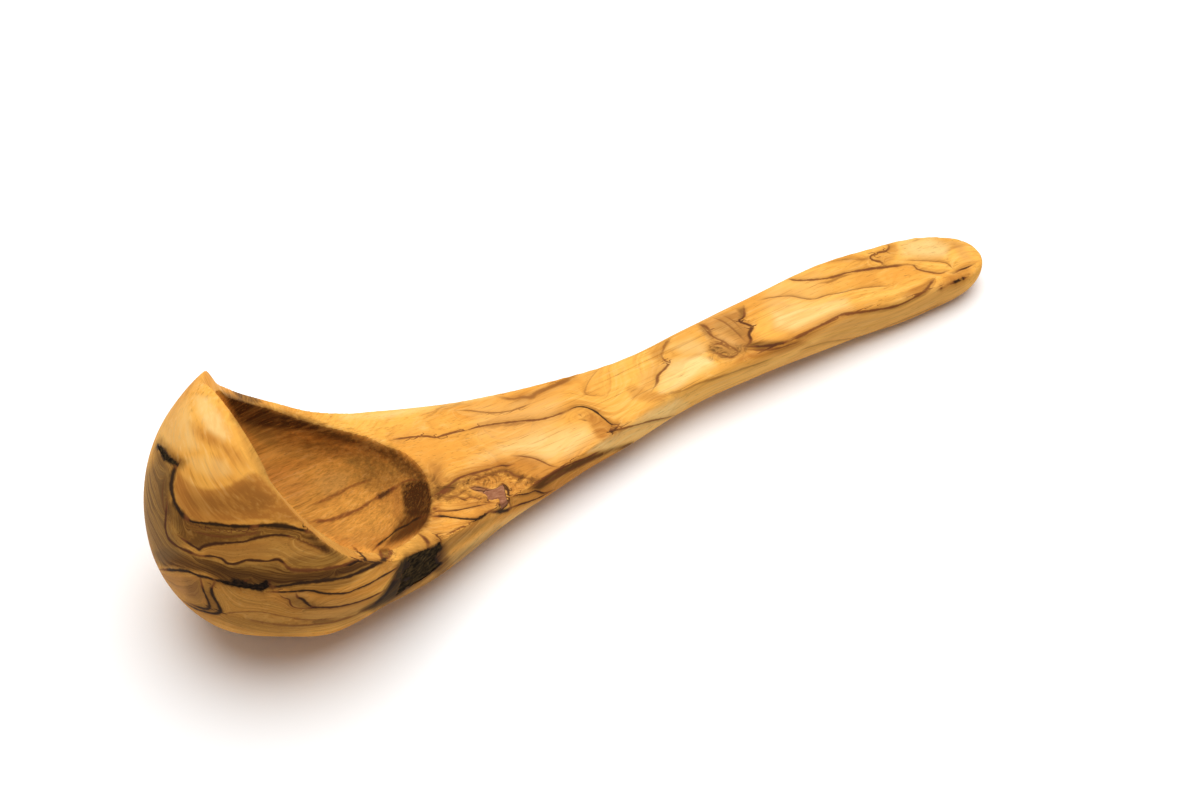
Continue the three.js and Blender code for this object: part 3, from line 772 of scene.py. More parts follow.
    "burl": ("amber", 0.6, 3, [(433, 476), (450, 478), (462, 470), (482, 465), (499, 459), (514, 456),
        (528, 457), (540, 460), (547, 464), (557, 468), (542, 477), (530, 487), (511, 495), (509, 486),
        (502, 482), (492, 488), (480, 486), (470, 487), (470, 502), (448, 503), (434, 500)]),
    "burlDeep": ("brown", 0.4, 4, [(436, 494), (448, 482), (460, 476), (484, 469), (506, 467), (524, 474),
        (536, 480), (520, 482), (504, 476), (484, 478), (470, 486), (462, 498), (446, 500)]),
    "burlBlots": ("dark", 0.7, 2.5, [(433, 495), (440, 488), (450, 485), (456, 480), (458, 484),
        (449, 492), (438, 499)]),
    "burlSwirl": ("swirl", 0.8, 3, [(433, 486), (450, 480), (464, 475), (486, 470), (508, 468),
        (530, 474), (540, 478), (529, 488), (511, 495), (509, 486), (502, 482), (492, 488), (480, 486),
        (470, 487), (470, 502), (448, 503), (434, 500)]),
    "patchSwirl": ("swirl", 0.75, 8, [(708, 347), (718, 342), (730, 346), (744, 349), (736, 356),
        (726, 361), (712, 358)]),
    "burlFoot": ("amber", 0.8, 4, [(468, 492), (486, 494), (490, 500), (498, 504), (490, 511), (466, 507),
        (450, 505)]),
    "burlFootSwirl": ("swirl", 0.6, 4, [(460, 494), (484, 495), (488, 503), (480, 506), (462, 505)]),
    "neckEdge": ("amber", 0.7, 4, [(430, 462), (440, 466), (446, 484), (444, 500), (440, 520), (432, 520),
        (431, 490)]),
    "neckEdgeDeep": ("brown", 0.55, 4, [(428, 474), (436, 476), (442, 488), (440, 500), (432, 500),
        (432, 486)]),
    "loopFill": ("putty", 1, 1, [(469, 487.6), (478, 485.6), (488, 488.4), (497, 491), (496, 497),
        (487, 494.5), (477, 491.6)]),
    "flankOlive": ("grey", 0.58, 3, [(437, 556), (446, 538), (462, 531), (480, 523), (500, 514),
        (490, 523), (470, 537), (454, 548), (440, 564)]),
    "flankFoot": ("grey", 0.6, 4, [(436, 574), (450, 556), (476, 542), (500, 526), (504, 528), (480, 546),
        (456, 566)]),
    "flankPale": ("pale", 0.6, 4, [(446, 560), (480, 535), (510, 515), (540, 500), (546, 503), (515, 525),
        (485, 547), (456, 566)]),
    "flankBrown": ("brown", 0.9, 2, [(531, 489), (545, 477), (560, 468), (575, 462), (592, 455),
        (612, 448), (632, 442), (634, 445), (612, 452), (590, 462), (572, 471), (556, 480), (540, 490)]),
    "flankAmber": ("amber", 0.65, 2.5, [(536, 492), (556, 481), (572, 472), (590, 463), (612, 453),
        (634, 446), (638, 449), (614, 461), (592, 472), (570, 484), (548, 495)]),
    # painted light: the near side of the neck and handle lightened
    "sidePaintedLight": ("pale", 0.8, 4, [(588, 452), (598, 443), (626, 428), (650, 412), (680, 398), (690, 404),
        (664, 424), (636, 440), (612, 450)]),
    "handleSidePaintedLight": ("pale", 0.3, 6, [(662, 402), (700, 388), (760, 362), (800, 343), (842, 318),
        (905, 305), (936, 286), (972, 284), (975, 300), (900, 330), (820, 356), (740, 385), (670, 412)]),
    "endSide": ("amber", 0.3, 4, [(842, 319), (880, 313), (910, 304), (936, 290), (962, 284), (970, 290),
        (940, 308), (900, 322), (850, 336), (818, 342)]),
    "handlePatch": ("rose", 0.5, 3, [(700, 324), (711, 317.5), (725, 312.5), (745, 307.5), (745, 316),
        (739, 320), (747.5, 323), (753, 327), (749, 331), (750, 340), (746, 347.5), (741, 352.5),
        (734, 357.5), (727.5, 360), (717, 358), (710, 351), (709, 340), (700, 331)]),
    "patchShade": ("brown", 0.45, 6, [(710, 347), (718, 342), (730, 346), (744, 349), (736, 356),
        (726, 360), (714, 357)]),
    "patchDeep": ("brown", 0.3, 4, [(716, 322), (728, 314), (742, 312), (738, 321), (748, 328),
        (748, 342), (738, 342), (724, 332), (712, 330)]),
    "patchKnee": ("brown", 0.45, 4, [(732, 346), (742, 341), (752, 342), (754, 348), (744, 353),
        (734, 354)]),
    "patchBar": ("pale", 0.5, 3, [(715, 337), (720, 334), (734, 341), (741, 347), (734, 346),
        (722, 341)]),
    "patchSmear": ("dark", 0.5, 2.5, [(699, 324), (706, 326), (711, 333), (714, 339), (708, 338),
        (702, 331)]),
    "patchCorner": ("brown", 0.6, 2, [(737, 309), (745, 307), (745, 317), (740, 320), (739, 314)]),
    "patchFoot": ("brown", 0.8, 2, [(746, 348), (750, 342), (766, 341), (786, 341), (776, 346),
        (762, 350)]),
    "footBand": ("amber", 0.7, 3, [(738, 356), (770, 349), (800, 341), (810, 343), (780, 352), (748, 360),
        (734, 363)]),
    "jagShade": ("amber", 0.55, 4, [(648, 350), (662, 342), (668, 340), (664, 352), (661, 359),
        (652, 360)]),
    "jagLow": ("rose", 0.4, 5, [(638, 376), (652, 364), (664, 364), (656, 378), (650, 390), (640, 388)]),
    "tanPatch": ("amber", 0.6, 3, [(627, 389), (634, 385), (644, 389), (656, 393), (668, 394), (664, 401),
        (648, 402), (632, 399)]),
    "palePatch": ("pale", 0.85, 4, [(668, 362), (680, 358), (700, 355), (712, 360), (716, 366),
        (700, 374), (686, 383), (670, 392), (660, 393), (656, 386), (662, 374)]),
    "paleHandle": ("pale", 0.65, 6, [(670, 346), (690, 338), (706, 344), (706, 354), (684, 354)]),
    "paleEnd": ("pale", 0.75, 7, [(772, 312), (800, 304), (846, 300), (852, 308), (820, 320), (796, 330),
        (776, 328)]),
    "goldEnd": ("gold", 0.8, 5, [(752, 330), (760, 312), (774, 308), (772, 330), (790, 336), (764, 340)]),
    "honeyEnd": ("honey", 0.7, 6, [(770, 292), (800, 284), (850, 276), (905, 268), (925, 276), (900, 283),
        (850, 288), (800, 295)]),
    "edgeShade": ("amber", 0.6, 3, [(804, 332), (826, 321), (840, 314), (880, 306), (906, 299),
        (905, 303), (880, 311), (842, 318), (824, 328), (806, 337)]),
    "endWedge": ("amber", 0.7, 3, [(903, 297), (912, 288), (925, 285), (933, 280), (927, 291), (916, 298),
        (905, 302)]),
    "endAmber": ("amber", 0.6, 2.5, [(884, 242), (896, 244), (898, 251), (893, 260), (883, 263),
        (872, 257), (887, 250)]),
    "endFar": ("amber", 0.45, 3, [(826, 262), (846, 258), (866, 256), (870, 261), (848, 263)]),
    "paleTip": ("pale", 0.7, 6, [(900, 242), (930, 238), (948, 246), (946, 256), (925, 258), (902, 256)]),
    "tipShade": ("rose", 0.45, 4, [(950, 240), (964, 246), (973, 260), (962, 262), (956, 250)]),
    "pitShade": ("amber", 0.6, 3, [(936, 288), (950, 274), (968, 264), (972, 274), (956, 286),
        (942, 292)]),
}


# How the figure is laid on the wood: lengths in millimetres, the rest counts and shares
figure = {
    "pixelSize": 0.3, "lineStep": 1.5, "taper": 6, "farAway": 30, "seenFade": 12, "lineSets": 3,
    "pith": (9, -26), "ringWidth": 4.5, "drift": 110, "pull": 40, "slack": 0.0008, "rounds": 160,
    "endWidth": 0.5, "endDark": 0.4, "lift": 0.4, "wall": (0.1, 0.7), "hollowEdge": (1.005, 1.03),
    "fewestSteps": 4, "taperShare": 3,
}


def growthRings(places):  # rings about the pith of the branch, counted outwards
    across, up = figure["pith"]
    reach = np.hypot(places[:, 1] / mm - across, places[:, 2] / mm - up)
    return reach / figure["ringWidth"] + places[:, 0] / mm / figure["drift"]


def addAttribute(mesh, name, values):
    attribute = mesh.attributes.new(name, "FLOAT", "POINT")
    attribute.data.foreach_set("value", np.asarray(values, np.float32))


def pointFinder(points):
    finder = KDTree(len(points))
    for i, point in enumerate(points):
        finder.insert(point, i)
    finder.balance()
    return finder


def tracedPoints(path, tree):  # the points of the wood under a traced path
    length = sum(math.dist(a, b) for a, b in zip(path, path[1:]))
    hits = []
    for x, y in splinePoints(path, max(figure["fewestSteps"], int(length / figure["lineStep"]))):
        place = tree.ray_cast(eye, pixelRay(x, y))[0]
        if place is not None:
            hits.append(place)
    return hits


def lineRows(width, dark, path, tree):  # each row: place, way along, half width, darkness, ring
    hits = tracedPoints(path, tree)
    last = len(hits) - 1
    ring = round(growthRings(np.array(hits)).mean())
    half = width * figure["pixelSize"] / 2
    taper = max(1, min(figure["taper"], last / figure["taperShare"]))
    rows = []
    for i, place in enumerate(hits):
        way = (hits[min(i + 1, last)] - hits[max(i - 1, 0)]).normalized()
        full = min(1, min(i, last - i) / taper)
        thick = half * between(figure["endWidth"], 1, full)
        rows.append((*place, *way, thick, dark * between(figure["endDark"], 1, full), ring))
    return np.array(rows)


def clearance(rows, others):
    gaps = [np.linalg.norm(rows[:, None, :3] - other[None, :, :3], axis=2).min() for other in others]
    return min(gaps, default=1)


def traceLines(tree):  # sets of lines, those of each set as far apart as can be
    sets = [[] for i in range(figure["lineSets"])]
    for width, dark, path in figureLines.values():
        rows = lineRows(width, dark, path, tree)
        sets[int(np.argmax([clearance(rows, others) for others in sets]))].append(rows)
    return [np.concatenate(lines) for lines in sets]


def paintLines(mesh, sets, places, normals):
    outward = places - bowlCentre - np.array((0, *figure["pith"])) * mm
    outward[:, 0] = 0
    least = np.full(len(places), float(figure["farAway"]))
    for index, traced in enumerate(sets):
        finder = pointFinder(traced[:, :3])
        nearest = np.array([finder.find(place)[1] for place in places])
        offset = places - traced[nearest, :3]
        across = np.cross(traced[nearest, 3:6], normals)
        across /= np.linalg.norm(across, axis=1)[:, None] + 1e-9
        across *= np.sign(np.einsum("ij,ij->i", across, outward))[:, None]
        near = np.linalg.norm(offset, axis=1) / mm
        least = np.minimum(least, near)
        addAttribute(mesh, f"lineSide{index}", np.einsum("ij,ij->i", offset, across) / mm)
        addAttribute(mesh, f"lineNear{index}", np.minimum(near, figure["farAway"]))
        addAttribute(mesh, f"lineHalf{index}", traced[nearest, 6])
        addAttribute(mesh, f"lineDark{index}", traced[nearest, 7])
    addAttribute(mesh, "lineNear", least)


def paintRings(mesh, traced, places):  # growth rings bent so that each traced line lies along one ring
    count = len(places)
    ends = np.zeros(len(mesh.edges) * 2, int)
    mesh.edges.foreach_get("vertices", ends)
    a, b = ends[0::2], ends[1::2]
    own = growthRings(places)
    finder = pointFinder(places)
    pinned = np.array([finder.find(place)[1] for place in traced[:, :3]])
    pull = np.zeros(count)
    wanted = np.zeros(count)
    pull[pinned] = figure["pull"]
    wanted[pinned] = traced[:, 8] - own[pinned]

    def stiffness(bend):
        step = bend[a] - bend[b]
        spread = np.bincount(a, step, count) - np.bincount(b, step, count)
        return spread + (pull + figure["slack"]) * bend

    bend = np.zeros(count)
    rest = pull * wanted
    way = rest.copy()
    energy = rest @ rest
    for turn in range(figure["rounds"]):
        push = stiffness(way)
        step = energy / (way @ push)
        bend += step * way
        rest -= step * push
        left = rest @ rest
        way = rest + left / energy * way
        energy = left
    addAttribute(mesh, "ring", own + bend)


def outlineDepth(pixels, outline):  # how far inside an outline each pixel lies, negative outside
    corners = np.array(outline, float)
    least = np.full(len(pixels), np.inf)
    inside = np.zeros(len(pixels), bool)
    for a, b in zip(corners, np.roll(corners, -1, 0)):
        run = b - a
        share = np.clip(((pixels - a) @ run) / (run @ run), 0, 1)
        least = np.minimum(least, np.linalg.norm(pixels - a - share[:, None] * run, axis=1))
        crosses = (a[1] > pixels[:, 1]) != (b[1] > pixels[:, 1])
        level = (pixels[:, 1] - a[1]) / (run[1] if run[1] else 1e-9)
        inside ^= crosses & (pixels[:, 0] < a[0] + level * run[0])
    return np.where(inside, least, -least)


def seenPoints(tree, places, normals):  # which points the photograph shows
    seen = np.zeros(len(places), bool)
    for i, (place, normal) in enumerate(zip(places, normals)):
        start = Vector(place) + Vector(normal) * figure["lift"] * mm
        towards = eye - start
        seen[i] = towards.dot(Vector(normal)) > 0 and tree.ray_cast(start, towards.normalized())[0] is None
    return seen


# the tints, painted shade and painted highlights among them, carried onto the points of the body
def paintTints(mesh, tree, places, normals):
    seen = seenPoints(tree, places, normals)
    pixels = toPixels(places[seen])
    tints = {}
    for tint, strength, soft, outline in tintAreas.values():
        cover = strength * smoothStep(-soft, soft, outlineDepth(pixels, outline))
        tints[tint] = np.maximum(tints.get(tint, 0), cover)
    finder = pointFinder(places[seen])
    found = [finder.find(place) for place in places]
    source = np.array([hit[1] for hit in found])
    fade = 1 - smoothStep(0, figure["seenFade"] * mm, np.array([hit[2] for hit in found]))
    agree = np.einsum("ij,ij->i", normals, normals[seen][source])
    fade *= smoothStep(*figure["wall"], agree)  # not through a wall
    for tint, cover in tints.items():
        addAttribute(mesh, tint, cover[source] * fade)
    addAttribute(mesh, "seen", fade)


def paintHollow(mesh, places):  # which points belong to the bored hollow
    centre = np.array(bowlCentre) + np.array(cup["centre"]) * mm
    reach = np.linalg.norm((places - centre) / (np.array(cup["radii"]) * mm), axis=1)
    share = 1 - smoothStep(*figure["hollowEdge"], reach)
    addAttribute(mesh, "hollow", share)
    return share


def paintFillEdges(mesh, places, hollow):  # how near each outer point lies to bark or to the black seam
    points = [vertexPlaces(flaw["object"].data) for flaw in flaws.values() if flaw["slot"] != "putty"]
    finder = pointFinder(np.concatenate(points))
    near = np.array([finder.find(place)[2] for place in places]) / mm
    addAttribute(mesh, "fillNear", np.minimum(near + figure["farAway"] * hollow, figure["farAway"]))


def paintFigure(piece):
    mesh = piece.data
    tree = BVHTree.FromObject(piece, bpy.context.evaluated_depsgraph_get())
    places, normals = vertexPlaces(mesh), vertexValues(mesh, "normal")
    sets = traceLines(tree)
    paintLines(mesh, sets, places, normals)
    paintRings(mesh, np.concatenate(sets), places)
    paintTints(mesh, tree, places, normals)
    paintFillEdges(mesh, places, paintHollow(mesh, places))


paintFigure(body)
print("figure painted:", len(figureLines), "lines and", len(tintAreas), "tints")


# Shader helpers

def addNode(tree, kind, inputs=None, **settings):
    made = tree.nodes.new(kind)
    for key, value in settings.items():
        setattr(made, key, value)
    for key, value in (inputs or {}).items():
        if isinstance(value, bpy.types.NodeSocket):
            tree.links.new(value, made.inputs[key])
        else:
            made.inputs[key].default_value = value
    return made


def attributeValue(tree, name):
    return addNode(tree, "ShaderNodeAttribute", attribute_name=name).outputs["Fac"]


def maths(tree, operation, a, b=0.0, clamp=False):
    made = addNode(tree, "ShaderNodeMath", {0: a, 1: b}, operation=operation, use_clamp=clamp)
    return made.outputs[0]


def plus(tree, a, b, clamp=False):
    return maths(tree, "ADD", a, b, clamp)


def times(tree, a, b, clamp=False):
    return maths(tree, "MULTIPLY", a, b, clamp)


def allBut(tree, value):
    return maths(tree, "SUBTRACT", 1.0, value, clamp=True)


def offCentre(tree, value):
    return maths(tree, "SUBTRACT", value, 0.5)


def ramp(tree, value, low, high, start=0.0, end=1.0):
    inputs = {"Value": value, "From Min": low, "From Max": high, "To Min": start, "To Max": end}
    return addNode(tree, "ShaderNodeMapRange", inputs, interpolation_type="SMOOTHSTEP").outputs["Result"]


def mixColour(tree, factor, a, b, blend="MIX"):
    inputs = {0: factor, 6: a, 7: b}
    return addNode(tree, "ShaderNodeMix", inputs, data_type="RGBA", blend_type=blend).outputs[2]


def mixValue(tree, factor, a, b):
    return addNode(tree, "ShaderNodeMix", {0: factor, 2: a, 3: b}).outputs[0]


def noise(tree, vector, detail=3.0, roughness=0.55, distortion=0.0):
    inputs = {"Vector": vector, "Scale": 1.0, "Detail": detail,
              "Roughness": roughness, "Distortion": distortion}
    return addNode(tree, "ShaderNodeTexNoise", inputs).outputs["Fac"]


def stretchedNoise(tree, place, scale, *settings):
    mapped = addNode(tree, "ShaderNodeMapping", {"Vector": place, "Scale": scale})
    return noise(tree, mapped.outputs[0], *settings)


def leaningNoise(tree, place, turn, scale, *settings):  # stretched across, turned about the length
    inputs = {"Vector": place, "Rotation": (turn, 0, 0), "Scale": [1 / part for part in scale]}
    mapped = addNode(tree, "ShaderNodeMapping", inputs, vector_type="TEXTURE")
    return noise(tree, mapped.outputs[0], *settings)


def addBump(tree, shader, height, strength, depth):
    inputs = {"Height": height, "Strength": strength, "Distance": depth * mm}
    tree.links.new(addNode(tree, "ShaderNodeBump", inputs).outputs[0], shader.inputs["Normal"])


def backgroundRay(tree):  # what the camera sees, also in a shine or through glass
    path = addNode(tree, "ShaderNodeLightPath").outputs
    seen = maths(tree, "MAXIMUM", path["Is Camera Ray"], path["Is Glossy Ray"])
    return maths(tree, "MAXIMUM", seen, path["Is Transmission Ray"])


def newMaterial(name):
    material = bpy.data.materials.new(name)
    material.use_nodes = True
    tree = material.node_tree
    place = addNode(tree, "ShaderNodeTexCoord").outputs["Object"]
    return material, tree, tree.nodes["Principled BSDF"], place


woodColours = {
    "gold": (0.87, 0.43, 0.078, 1), "honey": (0.74, 0.315, 0.050, 1), "pale": (0.90, 0.60, 0.23, 1),
    "amber": (0.44, 0.165, 0.029, 1), "brown": (0.130, 0.050, 0.0105, 1), "tan": (0.41, 0.182, 0.038, 1),
    "grey": (0.22, 0.115, 0.038, 1), "dark": (0.060, 0.022, 0.007, 1), "rose": (0.52, 0.24, 0.078, 1),
    "line": (0.020, 0.010, 0.006, 1), "vein": (0.160, 0.046, 0.015, 1), "putty": (0.31, 0.13, 0.065, 1),
    "black": (0.044, 0.026, 0.010, 1), "olive": (0.34, 0.180, 0.037, 1), "umber": (0.135, 0.070, 0.018, 1),
}
woodTints = {  # in the order they are laid on, with the least share that the grain leaves of each
    "gold": 0.5, "honey": 0.5, "pale": 0.45, "amber": 0.7, "olive": 0.6, "tan": 0.7, "rose": 0.7,
    "brown": 0.75, "grey": 0.75, "dark": 0.8, "putty": 1, "black": 0.6,
}
woodFinish = {
    "satin": 0.46, "matt": 0.3, "specular": 0.02, "bumpStrength": 0.3, "bumpDepth": 0.12,
    "domeLean": 0.27, "tremble": 0.2, "finerRings": 3, "bandedRings": 0.5,
    "breakFrom": 0.75, "breakTo": 1.25, "breakMost": 1.2, "haloLeast": 0.5,
    "wobble": 0.8, "leastWobble": 0.05, "thinnest": 0.2, "cutOff": 2,
    "barkJitter": 0.9, "barkWander": 1.6,
}

# Patterns of the wood: repeats in a metre along, across and up, then detail, roughness, distortion
woodPatterns = {
    "wander": ((9, 36, 36), 2), "tremble": ((50, 220, 220), 3),
    "plank": ((16, 130, 130), 4), "straight": ((60, 900, 900), 4),
    "domeNarrow": ((170, 22, 330), 5, 0.65), "domeFine": ((700, 45, 1300), 4),
    "swirl": ((160, 230, 230), 5, 0.62, 2.2), "vessels": ((20, 1700, 1700), 2),
    "uneven": ((260, 260, 260), 2), "jitter": ((900, 900, 900), 3),
    "fuzz": ((300, 1700, 1500), 5, 0.62, 0.6), "pores": ((200, 2400, 2400), 2),
}
woodStreaks = {"broad": (12, 0.7), "narrow": (26, 4), "fine": (70, 16)}  # repeats along and across a ring

# Each layer: from and to on its pattern, and how much of it shows at either end
woodLayers = {
    "bands": (0.36, 0.64), "amberStreak": (0.50, 0.78, 0, 0.35), "paleStreak": (0.46, 0.26, 0, 0.16),
    "amberFibre": (0.50, 0.74, 0, 0.4), "paleFibre": (0.48, 0.28, 0, 0.2),
    "ringFree": (2, 22, 0.25, 1.6), "ringEdge": (0.72, 1.0, 0, 1), "ringPatches": (0.40, 0.62, 0.1, 1),
    "betweenEdge": (0.6, 1.0, 0, 0.55), "betweenPatches": (0.42, 0.58, 0, 1),
    "ringShown": (0, 1, 0.7, 0.15), "ringCalm": (0, 1, 1, 0.1),
    "vessels": (0.58, 0.70, 0, 0.26), "pores": (0.62, 0.72, 0, 0.3),
    "haloSide": (-0.3, 0.3, 1, 2.4), "amberHalo": (0.2, 4.5, 0.5, 0), "brownHalo": (0.2, 1.5, 0.5, 0),
    "strokeWidth": (0.3, 0.7, 0.6, 1.4), "strokeEdge": (0.35, 1.7, 1, 0), "strokeEnd": (0.5, 1.3, 1, 0),
    "strokeShare": (0, 0.9, 0, 0.95), "inkDepth": (0.7, 1.0),
    "barkBrown": (0.5, 3.5, 0.5, 0), "barkBlack": (0.1, 0.9, 0.95, 0),
    "umberFuzz": (0.46, 0.68, 0, 0.34), "goldFuzz": (0.46, 0.30, 0, 0.2), "patchyShine": (0.3, 0.7, 0, 0.12),
}
burlBands = {"gold": (0.47, 0.36, 0, 0.7), "brown": (0.50, 0.59, 0, 0.7), "dark": (0.58, 0.65, 0, 0.85)}


def pattern(tree, place, name):
    return stretchedNoise(tree, place, *woodPatterns[name])


def domePattern(tree, place, name):
    return leaningNoise(tree, place, woodFinish["domeLean"], *woodPatterns[name])


def layer(tree, name, value):
    return ramp(tree, value, *woodLayers[name])


def shade(tree, colour, cover, tint, blend="MIX"):
    return mixColour(tree, cover, colour, woodColours[tint], blend)


def brokenGrain(tree, g, least):
    f = woodFinish
    return ramp(tree, g["grainy"], f["breakFrom"], f["breakTo"], least, f["breakMost"])


def ringPlace(tree, place, wander):  # the rings that every cut goes through, looser away from the lines
    free = layer(tree, "ringFree", attributeValue(tree, "lineNear"))
    ring = plus(tree, attributeValue(tree, "ring"), times(tree, offCentre(tree, wander), free))
    tremble = offCentre(tree, pattern(tree, place, "tremble"))
    return plus(tree, ring, times(tree, tremble, woodFinish["tremble"]))


def ringStreaks(tree, place, ring, name):  # streaks that run along the rings
    along, across = woodStreaks[name]
    split = addNode(tree, "ShaderNodeSeparateXYZ", {0: place}).outputs
    inputs = {"X": times(tree, split["X"], along), "Y": times(tree, split["Y"], along),
              "Z": times(tree, ring, across)}
    return noise(tree, addNode(tree, "ShaderNodeCombineXYZ", inputs).outputs[0])


def woodGrain(tree, place):  # what the layers of the wood read
    g = {name: pattern(tree, place, name) for name in ("wander", "uneven", "fuzz")}
    g["jitter"] = offCentre(tree, pattern(tree, place, "jitter"))
    g["hollow"], g["dome"] = attributeValue(tree, "hollow"), attributeValue(tree, "calm")
    g["plain"] = allBut(tree, g["dome"])
    g["bare"] = times(tree, g["hollow"], allBut(tree, attributeValue(tree, "brown")))
    g["ring"] = ringPlace(tree, place, g["wander"])
    g["broad"] = ringStreaks(tree, place, g["ring"], "broad")
    straight = pattern(tree, place, "straight")
    inHollow = {"narrow": pattern(tree, place, "plank"), "fine": straight}
    onDome = {"narrow": "domeNarrow", "fine": "domeFine"}
    for name, bored in inHollow.items():
        streak = mixValue(tree, g["hollow"], ringStreaks(tree, place, g["ring"], name), bored)
        g[name] = mixValue(tree, g["dome"], streak, domePattern(tree, place, onDome[name]))
    g["straight"] = mixValue(tree, g["dome"], straight, g["fine"])
    g["grainy"] = plus(tree, g["narrow"], g["fine"])
    g["pores"] = times(tree, pattern(tree, place, "pores"), g["plain"])
    return g


def layFibres(tree, g):  # soft bands and fibres
    bands = layer(tree, "bands", g["broad"])
    colour = mixColour(tree, bands, woodColours["gold"], woodColours["honey"])
    colour = shade(tree, colour, layer(tree, "amberStreak", g["narrow"]), "amber")
    colour = shade(tree, colour, layer(tree, "paleStreak", g["narrow"]), "pale")
    for fibre in (g["fine"], g["straight"]):
        colour = shade(tree, colour, layer(tree, "amberFibre", fibre), "amber")
        colour = shade(tree, colour, layer(tree, "paleFibre", fibre), "pale")
    return colour


# painted shade and painted highlights are laid on here together with the wood's own tints
def layTints(tree, colour, g):  # tinted areas, broken up along the grain
    for tint, least in woodTints.items():
        cover = times(tree, attributeValue(tree, tint), brokenGrain(tree, g, least), clamp=True)
        colour = shade(tree, colour, cover, tint)
    return colour


def layBurl(tree, colour, place):  # swirled grain about the knots
    swirl, burl = pattern(tree, place, "swirl"), attributeValue(tree, "swirl")
    for tint, band in burlBands.items():
        colour = shade(tree, colour, times(tree, ramp(tree, swirl, *band), burl), tint)
    return colour


def layRings(tree, colour, place, g):  # ring edges, sharp on the outer side, and hair-thin vessels
    f = woodFinish
    edge = layer(tree, "ringEdge", maths(tree, "FRACT", g["ring"]))
    edge = times(tree, edge, layer(tree, "ringPatches", g["wander"]))
    banded = plus(tree, attributeValue(tree, "tan"), attributeValue(tree, "brown"))
    banded = plus(tree, banded, attributeValue(tree, "grey"), clamp=True)
    finer = maths(tree, "FRACT", times(tree, g["ring"], f["finerRings"]))
    finer = times(tree, layer(tree, "betweenEdge", finer), banded)
    edge = maths(tree, "MAXIMUM", edge, times(tree, finer, layer(tree, "betweenPatches", g["broad"])))
    shown = layer(tree, "ringShown", attributeValue(tree, "seen"))
    shown = plus(tree, shown, times(tree, banded, f["bandedRings"]))
    calm = maths(tree, "MAXIMUM", g["hollow"], g["dome"])
    shown = times(tree, shown, layer(tree, "ringCalm", calm))
    deep = mixColour(tree, banded, woodColours["brown"], woodColours["dark"])
    colour = mixColour(tree, times(tree, edge, shown, clamp=True), colour, deep, "DARKEN")
    vessels = times(tree, pattern(tree, place, "vessels"), g["plain"])
    return shade(tree, colour, layer(tree, "vessels", vessels), "brown", "DARKEN")


def layLines(tree, colour, g):  # a dark stroke of uneven width, browned wood on its inner side
    f = woodFinish
    broken = brokenGrain(tree, g, f["haloLeast"])
    for index in range(figure["lineSets"]):
        near, side, dark, half = [attributeValue(tree, f"line{what}{index}")
                                  for what in ("Near", "Side", "Dark", "Half")]
        lean = times(tree, near, layer(tree, "haloSide", side))
        for tint in ("amber", "brown"):
            halo = times(tree, layer(tree, tint + "Halo", lean), dark)
            colour = shade(tree, colour, times(tree, halo, broken, clamp=True), tint, "DARKEN")
        wobble = times(tree, g["jitter"], plus(tree, times(tree, half, f["wobble"]), f["leastWobble"]))
        reach = maths(tree, "ABSOLUTE", plus(tree, side, wobble))
        thick = times(tree, half, layer(tree, "strokeWidth", g["uneven"]))
        thick = maths(tree, "MAXIMUM", thick, f["thinnest"])
        stroke = layer(tree, "strokeEdge", maths(tree, "DIVIDE", reach, thick))
        beyond = maths(tree, "SUBTRACT", near, times(tree, half, f["cutOff"]))
        stroke = times(tree, stroke, layer(tree, "strokeEnd", beyond))
        stroke = times(tree, stroke, layer(tree, "strokeShare", dark))
        ink = mixColour(tree, layer(tree, "inkDepth", dark), woodColours["vein"], woodColours["line"])
        colour = mixColour(tree, stroke, colour, ink, "DARKEN")
    return colour


def layBarkEdge(tree, colour, g):  # wood blackened beside the bark
    f = woodFinish
    away = plus(tree, attributeValue(tree, "fillNear"), times(tree, g["jitter"], f["barkJitter"]))
    away = plus(tree, away, times(tree, offCentre(tree, g["uneven"]), f["barkWander"]))
    colour = shade(tree, colour, layer(tree, "barkBrown", away), "brown", "DARKEN")
    return shade(tree, colour, layer(tree, "barkBlack", away), "line")


def layFuzz(tree, colour, g):  # fuzz of the sanded hollow, then pores
    colour = shade(tree, colour, times(tree, layer(tree, "umberFuzz", g["fuzz"]), g["hollow"]), "umber")
    colour = shade(tree, colour, times(tree, layer(tree, "goldFuzz", g["fuzz"]), g["bare"]), "gold")
    return shade(tree, colour, layer(tree, "pores", g["pores"]), "brown")


def oliveWood():
    f = woodFinish
    material, tree, shader, place = newMaterial("oliveWood")
    g = woodGrain(tree, place)
    colour = layTints(tree, layFibres(tree, g), g)
    colour = layBurl(tree, colour, place)
    colour = layRings(tree, colour, place, g)
    colour = layLines(tree, colour, g)
    colour = layFuzz(tree, layBarkEdge(tree, colour, g), g)
    tree.links.new(colour, shader.inputs["Base Color"])
    rough = plus(tree, layer(tree, "patchyShine", g["fine"]), times(tree, g["hollow"], f["matt"]))
    tree.links.new(plus(tree, rough, f["satin"]), shader.inputs["Roughness"])
    shader.inputs["Specular IOR Level"].default_value = f["specular"]
    height = maths(tree, "SUBTRACT", g["fine"], g["pores"])
    height = plus(tree, height, times(tree, g["fuzz"], g["bare"]))
    addBump(tree, shader, height, f["bumpStrength"], f["bumpDepth"])
    return material


